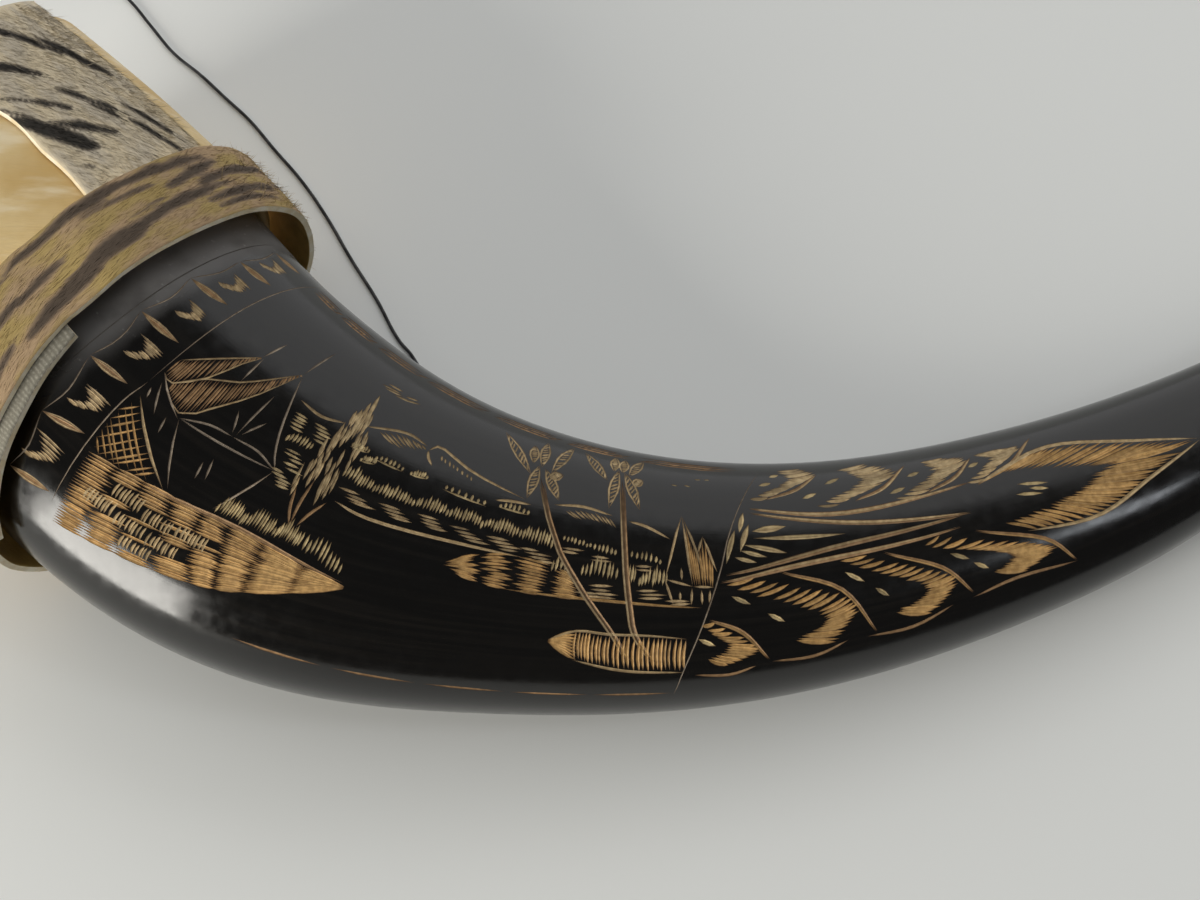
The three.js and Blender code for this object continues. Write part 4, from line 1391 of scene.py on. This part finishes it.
class NodeBoard:
    """Places and links nodes in one node tree."""

    def __init__(self, tree: bpy.types.NodeTree) -> None:
        """Take the tree that receives the nodes."""
        self.tree = tree

    def add(self, kind: str, inputs: dict | None = None, **settings: object) -> bpy.types.Node:
        """Add a node.

        Args:
            kind: The node's type.
            inputs: A value or a socket to link for each named or numbered input.
            settings: Properties of the node.

        Returns:
            The new node.
        """
        node = self.tree.nodes.new(kind)
        for key, value in settings.items():
            setattr(node, key, value)
        for key, value in (inputs or {}).items():
            if isinstance(value, bpy.types.NodeSocket):
                self.tree.links.new(value, node.inputs[key])
            else:
                node.inputs[key].default_value = value
        return node

    def uv(self, name: str) -> bpy.types.NodeSocket:
        """The coordinates of a UV map."""
        return self.add("ShaderNodeUVMap", uv_map=name).outputs["UV"]

    def object_place(self) -> bpy.types.NodeSocket:
        """The place in the object's own metres."""
        return self.add("ShaderNodeTexCoord").outputs["Object"]

    def grain(self, group: bpy.types.NodeTree, scale: float) -> bpy.types.Node:
        """The shared grain, laid over the object's own place at a scale."""
        node = self.add("ShaderNodeGroup", node_tree=group)
        self.tree.links.new(self.object_place(), node.inputs["Vector"])
        node.inputs["Scale"].default_value = scale
        return node

    def attribute(self, name: str, output: str = "Fac") -> bpy.types.NodeSocket:
        """A value or colour stored on the mesh."""
        return self.add("ShaderNodeAttribute", attribute_name=name).outputs[output]

    def noise(self, place: bpy.types.NodeSocket, scale: float, detail: float = 3.0,
              stretch: tuple[float, float, float] = (1.0, 1.0, 1.0),
              turn: float = 0.0) -> bpy.types.NodeSocket:
        """Smooth random values from 0 to 1, stretched and turned."""
        laid = {"Vector": place, "Scale": stretch, "Rotation": (0, 0, turn)}
        mapped = self.add("ShaderNodeMapping", laid).outputs[0]
        made = self.add("ShaderNodeTexNoise", {"Vector": mapped, "Scale": scale, "Detail": detail})
        return made.outputs["Fac"]

    def ramp(self, value: bpy.types.NodeSocket, low: float, high: float, first: float = 0.0,
             last: float = 1.0) -> bpy.types.NodeSocket:
        """A value moved smoothly from the range low to high to the range first to last."""
        node = self.add("ShaderNodeMapRange", {"Value": value, 1: low, 2: high, 3: first, 4: last},
                        interpolation_type="SMOOTHSTEP")
        return node.outputs["Result"]

    def math(self, operation: str, first: object, second: object = 0.0) -> bpy.types.NodeSocket:
        """Arithmetic on two values."""
        return self.add("ShaderNodeMath", {0: first, 1: second}, operation=operation).outputs[0]

    def blend(self, share: object, first: object, second: object,
              kind: str = "MIX") -> bpy.types.NodeSocket:
        """A colour at a share of the way from one colour to another."""
        inputs = {0: share, 6: opaque(first), 7: opaque(second)}
        return self.add("ShaderNodeMix", inputs, data_type="RGBA", blend_type=kind).outputs[2]

    def bump(self, height: bpy.types.NodeSocket, strength: float,
             distance: float) -> bpy.types.NodeSocket:
        """A normal bent by a height in millimetres."""
        inputs = {"Height": height, "Strength": strength, "Distance": distance * MM}
        return self.add("ShaderNodeBump", inputs).outputs["Normal"]


def opaque(colour: object) -> object:
    """A colour of three numbers with its fourth one, and anything else as it is."""
    if isinstance(colour, tuple) and len(colour) == 3:
        return (*colour, 1.0)
    return colour


class Finish:
    """A surface finish: a new material with one shader."""

    name = "finish"
    roughness = 0.5
    metallic = 0.0
    specular = 0.5

    def build(self) -> bpy.types.Material:
        """Make the material.

        Returns:
            The material, dressed by its own method.
        """
        material = bpy.data.materials.new(self.name)
        material.use_nodes = True
        board = NodeBoard(material.node_tree)
        shader = material.node_tree.nodes["Principled BSDF"]
        shader.inputs["Roughness"].default_value = self.roughness
        shader.inputs["Metallic"].default_value = self.metallic
        shader.inputs["Specular IOR Level"].default_value = self.specular
        self.dress(board, shader)
        return material

    def dress(self, board: NodeBoard, shader: bpy.types.Node) -> None:
        """Give the shader its pattern."""
        raise NotImplementedError

    @staticmethod
    def join(board: NodeBoard, shader: bpy.types.Node, **sockets: bpy.types.NodeSocket) -> None:
        """Link sockets to the shader's inputs, with underscores for the spaces in their names."""
        for key, socket in sockets.items():
            board.tree.links.new(socket, shader.inputs[key.replace("_", " ")])


def grain_group() -> bpy.types.NodeTree:
    """The shared grain of hide and horn: blotches, fine fibres and a height for bumps.

    Returns:
        A node group with a Vector and a Scale input, and Blotch, Fibre and Height outputs.
    """
    tree = bpy.data.node_groups.new("hide_grain", "ShaderNodeTree")
    tree.interface.new_socket("Vector", in_out="INPUT", socket_type="NodeSocketVector")
    tree.interface.new_socket("Scale", in_out="INPUT", socket_type="NodeSocketFloat")
    for label in ("Blotch", "Fibre", "Height"):
        tree.interface.new_socket(label, in_out="OUTPUT", socket_type="NodeSocketFloat")
    board = NodeBoard(tree)
    entry = board.add("NodeGroupInput")
    leave = board.add("NodeGroupOutput")
    sized = board.add("ShaderNodeVectorMath", {0: entry.outputs["Vector"]}, operation="SCALE")
    tree.links.new(entry.outputs["Scale"], sized.inputs["Scale"])
    place = sized.outputs[0]
    blotch = board.ramp(board.noise(place, 1.0, 4.0), 0.35, 0.65)
    fibre = board.ramp(board.noise(place, 6.0, 3.0, (1.0, 5.0, 1.0)), 0.3, 0.7)
    height = board.math("ADD", board.math("MULTIPLY", blotch, 0.4), board.math("MULTIPLY", fibre, 0.6))
    for label, socket in (("Blotch", blotch), ("Fibre", fibre), ("Height", height)):
        tree.links.new(socket, leave.inputs[label])
    return tree


@dataclass(frozen=True)
class PolishedHorn(Finish):
    """Black polished horn, scuffed grey where the strap rubs it."""

    name: str = "polished black horn"
    roughness: float = 0.16
    black: Colour = (0.0032, 0.0028, 0.0023)
    brown: Colour = (0.007, 0.0058, 0.0045)
    scuffed: Colour = (0.165, 0.158, 0.153)
    dusty: Colour = (0.3, 0.29, 0.28)
    dull_roughness: float = 0.55
    length: float = 578.6

    def dress(self, board: NodeBoard, shader: bpy.types.Node) -> None:
        """Give the horn its faint growth streaks, fine scratches and the scuffed zone by the strap."""
        uv = board.uv(HORN_UV)
        s = board.math("MULTIPLY", board.add("ShaderNodeSeparateXYZ", {0: uv}).outputs[0], self.length)
        turn = board.math("MULTIPLY", board.add("ShaderNodeSeparateXYZ", {0: uv}).outputs[1], 360.0)
        place = board.object_place()
        streak = board.ramp(board.noise(uv, 9.0, 4.0, (1.0, 14.0, 1.0)), 0.4, 0.75)
        mottle = board.noise(place, 90.0, 5.0)
        speck = board.ramp(board.noise(place, 420.0, 2.0), 0.66, 0.74)
        edge = board.math("ADD", s, board.math("MULTIPLY", mottle, 7.0))
        zone = board.ramp(edge, 99.0, 90.0)
        upper = board.ramp(turn, 128.0, 70.0)
        worn_here = board.math("MULTIPLY", zone, upper)
        dull = board.math("MULTIPLY", worn_here, board.ramp(mottle, 0.25, 0.6, 0.45, 1.0))
        dust = board.math("MULTIPLY", worn_here, board.math("MULTIPLY", speck, 0.5))
        base = board.blend(streak, self.black, self.brown)
        worn = board.blend(dull, base, self.scuffed)
        colour = board.blend(dust, worn, self.dusty)
        fine = board.noise(place, 300.0, 3.0)
        polish = board.ramp(fine, 0.3, 0.7, self.roughness - 0.03, self.roughness + 0.05)
        dulling = board.math("MULTIPLY", dull, self.dull_roughness - self.roughness)
        rough = board.math("ADD", polish, dulling)
        scratch = board.noise(uv, 30.0, 4.0, (1.0, 18.0, 1.0), 0.2)
        normal = board.bump(scratch, 0.12, 0.05)
        self.join(board, shader, Base_Color=colour, Roughness=rough, Normal=normal)


@dataclass(frozen=True)
class CutHorn(Finish):
    """The light horn that the graver laid open."""

    name: str = "engraved tan horn"
    roughness: float = 0.62
    specular: float = 0.3
    # edge: colour of the painted shade that the cuts' shallow edges are multiplied by
    edge: Colour = (0.30, 0.25, 0.21)
    full_depth: float = 0.16

    def dress(self, board: NodeBoard, shader: bpy.types.Node) -> None:
        """Paint shade on the cuts towards their shallow edges, in place of the V-cut's own shading, and
        vary their colour along them.
        """
        place = board.object_place()
        tint = board.attribute("tint", "Color")
        vary = board.ramp(board.noise(place, 700.0, 3.0), 0.3, 0.7)
        dim = board.blend(vary, (0.78, 0.74, 0.70), (1.2, 1.2, 1.2))
        varied = board.blend(1.0, tint, dim, "MULTIPLY")
        # Painted shade: the cut's colour is darkened where it is shallow, and the shade fades out at
        # full_depth
        painted_edge_shade = board.blend(1.0, varied, self.edge, "MULTIPLY")
        colour = board.blend(board.ramp(board.attribute("depth"), 0.0, self.full_depth), painted_edge_shade, varied)
        self.join(board, shader, Base_Color=colour, Normal=board.bump(vary, 0.3, 0.08))


@dataclass(frozen=True)
class Rawhide(Finish):
    """Smooth yellow rawhide with pale clouds."""

    grain: bpy.types.NodeTree
    name: str = "yellow rawhide"
    roughness: float = 0.5
    honey: Colour = (0.54, 0.36, 0.13)
    cream: Colour = (0.66, 0.50, 0.25)
    pale: Colour = (0.74, 0.62, 0.41)

    def dress(self, board: NodeBoard, shader: bpy.types.Node) -> None:
        """Give the rawhide its clouds, pale streaks and dry grain."""
        place = board.object_place()
        grain = board.grain(self.grain, 45.0)
        cloud = board.blend(grain.outputs["Blotch"], self.honey, self.cream)
        streak = board.ramp(board.noise(place, 26.0, 5.0, (1.0, 4.0, 1.0), 0.5), 0.56, 0.72)
        colour = board.blend(streak, cloud, self.pale)
        rough = board.ramp(grain.outputs["Fibre"], 0.0, 1.0, 0.42, 0.6)
        normal = board.bump(grain.outputs["Height"], 0.35, 0.25)
        self.join(board, shader, Base_Color=colour, Roughness=rough, Normal=normal)


@dataclass(frozen=True)
class HairyHide(Finish):
    """The hair side of hide, with light and dark hair."""

    name: str = "hairy hide"
    roughness: float = 0.75
    specular: float = 0.25
    tan: Colour = (0.37, 0.275, 0.110)
    rosy: Colour = (0.375, 0.265, 0.160)
    brown: Colour = (0.20, 0.145, 0.100)
    dark: Colour = (0.085, 0.064, 0.048)
    lay: float = 0.1
    single_hairs: bool = False

    def dress(self, board: NodeBoard, shader: bpy.types.Node) -> None:
        """Colour the hair from the strap's streaks, and vary it from hair to hair."""
        uv = board.uv("hide")
        cloud = board.ramp(board.noise(uv, 9.0, 3.0, (1.0, 2.2, 1.0), self.lay), 0.38, 0.62)
        light = board.blend(cloud, self.tan, self.rosy)
        fine = board.noise(uv, 60.0, 3.0, (1.0, 9.0, 1.0), self.lay)
        amount = board.math("ADD", board.attribute("dark"), board.ramp(fine, 0.2, 0.8, -0.18, 0.18))
        browned = board.blend(board.ramp(amount, 0.15, 0.6), light, self.brown)
        colour = board.blend(board.ramp(amount, 0.55, 0.95), browned, self.dark)
        vary = board.attribute("shade") if self.single_hairs else fine
        shade = board.blend(board.ramp(vary, 0.1, 0.9), (0.72, 0.70, 0.67), (1.3, 1.28, 1.25))
        final = board.blend(1.0, colour, shade, "MULTIPLY")
        self.join(board, shader, Base_Color=final, Normal=board.bump(fine, 0.5, 0.2))


@dataclass(frozen=True)
class FleshSide(Finish):
    """The ochre flesh side of the straps."""

    grain: bpy.types.NodeTree
    name: str = "ochre flesh side"
    roughness: float = 0.7
    ochre: Colour = (0.60, 0.37, 0.09)
    golden: Colour = (0.76, 0.50, 0.14)

    def dress(self, board: NodeBoard, shader: bpy.types.Node) -> None:
        """Give the flesh side its blotches and fibres."""
        grain = board.grain(self.grain, 130.0)
        colour = board.blend(grain.outputs["Blotch"], self.ochre, self.golden)
        normal = board.bump(grain.outputs["Height"], 0.5, 0.3)
        self.join(board, shader, Base_Color=colour, Normal=normal)


@dataclass(frozen=True)
class CutEdge(Finish):
    """The pale cut edge of hide."""

    grain: bpy.types.NodeTree
    name: str = "pale cut edge"
    roughness: float = 0.65
    cream: Colour = (0.74, 0.62, 0.40)
    pale: Colour = (0.85, 0.78, 0.62)

    def dress(self, board: NodeBoard, shader: bpy.types.Node) -> None:
        """Give the cut edge its uneven colour."""
        grain = board.grain(self.grain, 260.0)
        colour = board.blend(grain.outputs["Blotch"], self.cream, self.pale)
        normal = board.bump(grain.outputs["Height"], 0.4, 0.15)
        self.join(board, shader, Base_Color=colour, Normal=normal)


@dataclass(frozen=True)
class GreyHide(Finish):
    """Grey, ribbed hide of the strap end."""

    name: str = "grey ribbed hide"
    roughness: float = 0.85
    specular: float = 0.2
    grey: Colour = (0.20, 0.185, 0.145)
    light: Colour = (0.36, 0.34, 0.28)

    def dress(self, board: NodeBoard, shader: bpy.types.Node) -> None:
        """Give the strap end its ribs and specks."""
        uv = board.uv("hide")
        waves = {"Vector": uv, "Scale": 24.0, "Distortion": 2.5, "Detail": 2.0}
        rib = board.add("ShaderNodeTexWave", waves).outputs["Fac"]
        speck = board.noise(uv, 130.0, 3.0)
        share = board.math("MULTIPLY", rib, board.ramp(speck, 0.3, 0.7))
        colour = board.blend(share, self.grey, self.light)
        self.join(board, shader, Base_Color=colour, Normal=board.bump(speck, 0.5, 0.2))


@dataclass(frozen=True)
class DarkWire(Finish):
    """Thin dark annealed wire."""

    name: str = "dark wire"
    roughness: float = 0.45
    metallic: float = 0.7
    dark: Colour = (0.030, 0.030, 0.032)
    grey: Colour = (0.075, 0.075, 0.078)

    def dress(self, board: NodeBoard, shader: bpy.types.Node) -> None:
        """Give the wire its uneven skin."""
        vary = board.ramp(board.noise(board.object_place(), 220.0, 3.0), 0.35, 0.7)
        self.join(board, shader, Base_Color=board.blend(vary, self.dark, self.grey))


@dataclass(frozen=True)
class PaleFloor(Finish):
    """The plain pale floor."""

    name: str = "pale floor"
    roughness: float = 0.8
    specular: float = 0.2
    pale: Colour = (0.80, 0.81, 0.79)
    shade: Colour = (0.78, 0.79, 0.78)

    def dress(self, board: NodeBoard, shader: bpy.types.Node) -> None:
        """Give the floor a barely uneven tone."""
        vary = board.noise(board.object_place(), 3.0, 2.0)
        self.join(board, shader, Base_Color=board.blend(vary, self.pale, self.shade))


# Camera, light and floor

@dataclass(frozen=True)
class Panel:
    """A soft light panel: its direction and distance from the horn, its size in metres, its brightness."""

    name: str
    azimuth: float
    elevation: float
    distance: float
    size: tuple[float, float]
    brightness: float
    colour: Colour = (1.0, 1.0, 1.0)
    aim: tuple[float, float, float] = (-0.08, -0.05, 0.02)
    mirrored: bool = True

    def build(self) -> bpy.types.Object:
        """Make the light and return it; one that isn't mirrored leaves no highlight on polish."""
        data = bpy.data.lights.new(self.name, "AREA")
        data.shape = "RECTANGLE"
        data.size, data.size_y = self.size
        data.energy = self.brightness * math.pi * self.size[0] * self.size[1]
        data.color = self.colour
        light = bpy.data.objects.new(self.name, data)
        turn, rise = math.radians(self.azimuth), math.radians(self.elevation)
        away = Vector((math.cos(turn) * math.cos(rise), math.sin(turn) * math.cos(rise), math.sin(rise)))
        light.location = Vector(self.aim) + away * self.distance
        light.visible_glossy = self.mirrored
        light.rotation_euler = (-away).to_track_quat("-Z", "Y").to_euler()
        bpy.context.scene.collection.objects.link(light)
        return light


@dataclass
class Studio:
    """The camera at the photograph's angle, the floor and the soft light around it."""

    target: tuple[float, float, float] = (-37.0, -38.4, 25.0)
    distance: float = 433.3
    elevation: float = 68.0
    lens: float = 50.0
    sensor: float = 36.0
    floor_half: float = 3.0
    floor_gap: float = 0.0002
    world: Colour = (0.08, 0.081, 0.083)
    panels: tuple[Panel, ...] = (
        Panel("window", -141.0, 15.0, 1.6, (0.8, 0.92), 13.5, (1.0, 0.97, 0.90)),
        Panel("far wall", 72.0, 27.0, 1.8, (3.8, 2.1), 0.95, (1.0, 1.0, 1.0)),
        Panel("skylight", -7.5, 46.5, 1.5, (0.17, 0.30), 6.0, (0.90, 0.95, 1.0)),
        Panel("ceiling", 110.0, 72.0, 1.8, (2.0, 2.0), 0.85, (1.0, 1.0, 0.98), mirrored=False),
    )

    def build_camera(self) -> bpy.types.Object:
        """Make the camera and return it."""
        data = bpy.data.cameras.new("camera")
        data.lens = self.lens
        data.sensor_width = self.sensor
        data.sensor_fit = "HORIZONTAL"
        camera = bpy.data.objects.new("camera", data)
        tilt = math.radians(self.elevation)
        back = Vector((0, -math.cos(tilt), math.sin(tilt))) * self.distance
        camera.location = (Vector(self.target) + back) * MM
        camera.rotation_euler = (math.radians(90 - self.elevation), 0, 0)
        scene = bpy.context.scene
        scene.collection.objects.link(camera)
        scene.camera = camera
        scene.view_settings.view_transform = "Standard"
        return camera

    def build_room(self) -> None:
        """Make the floor, the world and the light panels."""
        bm = bmesh.new()
        bmesh.ops.create_grid(bm, x_segments=1, y_segments=1, size=self.floor_half)
        bmesh.ops.translate(bm, verts=bm.verts[:], vec=(0, 0, -self.floor_gap))
        finished_object("floor", bm, [PaleFloor().build()])
        world = bpy.data.worlds.new("room")
        world.use_nodes = True
        world.node_tree.nodes["Background"].inputs["Color"].default_value = (*self.world, 1)
        bpy.context.scene.world = world
        for panel in self.panels:
            panel.build()


def main() -> None:
    """Build the scene piece by piece."""
    logging.basicConfig(level=logging.INFO, format="%(message)s")
    LOG.info("%d CAD nodes", len(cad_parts))
    studio = Studio()
    studio.build_camera()
    register(HangingWire().build(DarkWire().build()), "dark_wire", "hanging_wire")

    form = HornForm(STATIONS)
    strokes = HornPicture(form, seed=7).draw()
    LOG.info("%d strokes", len(strokes))
    finishes = [PolishedHorn(length=form.length).build(), CutHorn().build()]
    horn = EngravedHorn(form, strokes).build(finishes)
    register(horn, "polished_horn", "horn")

    grain = grain_group()
    register(RawhideCover(form).build(Rawhide(grain).build()), "rawhide", "rawhide_cover")

    flesh, edge = FleshSide(grain).build(), CutEdge(grain).build()
    ring_colours = {"name": "ring hide", "lay": 0.1}
    long_colours = {"name": "long hide", "tan": (0.66, 0.57, 0.41), "rosy": (0.55, 0.49, 0.39),
                    "brown": (0.17, 0.145, 0.115), "dark": (0.030, 0.027, 0.023), "lay": 0.55}
    ring = RingStrap(form)
    for strap, colours, node in ((ring, ring_colours, "hide_strap_ring"),
                                 (LongStrap(form), long_colours, "hide_strap_long")):
        side = HairyHide(**colours).build()
        register(strap.build([side, flesh, edge]), "hairy_hide", node)
        hair_colours = {**colours, "name": colours["name"] + " hair", "single_hairs": True}
        register(strap.build_hair(HairyHide(**hair_colours).build()), "hairy_hide")
    end = StrapEnd(form, guide=ring).build([GreyHide().build(), flesh, edge])
    register(end, "grey_hide", "hide_strap_end")

    studio.build_room()


if __name__ == "__main__":
    main()
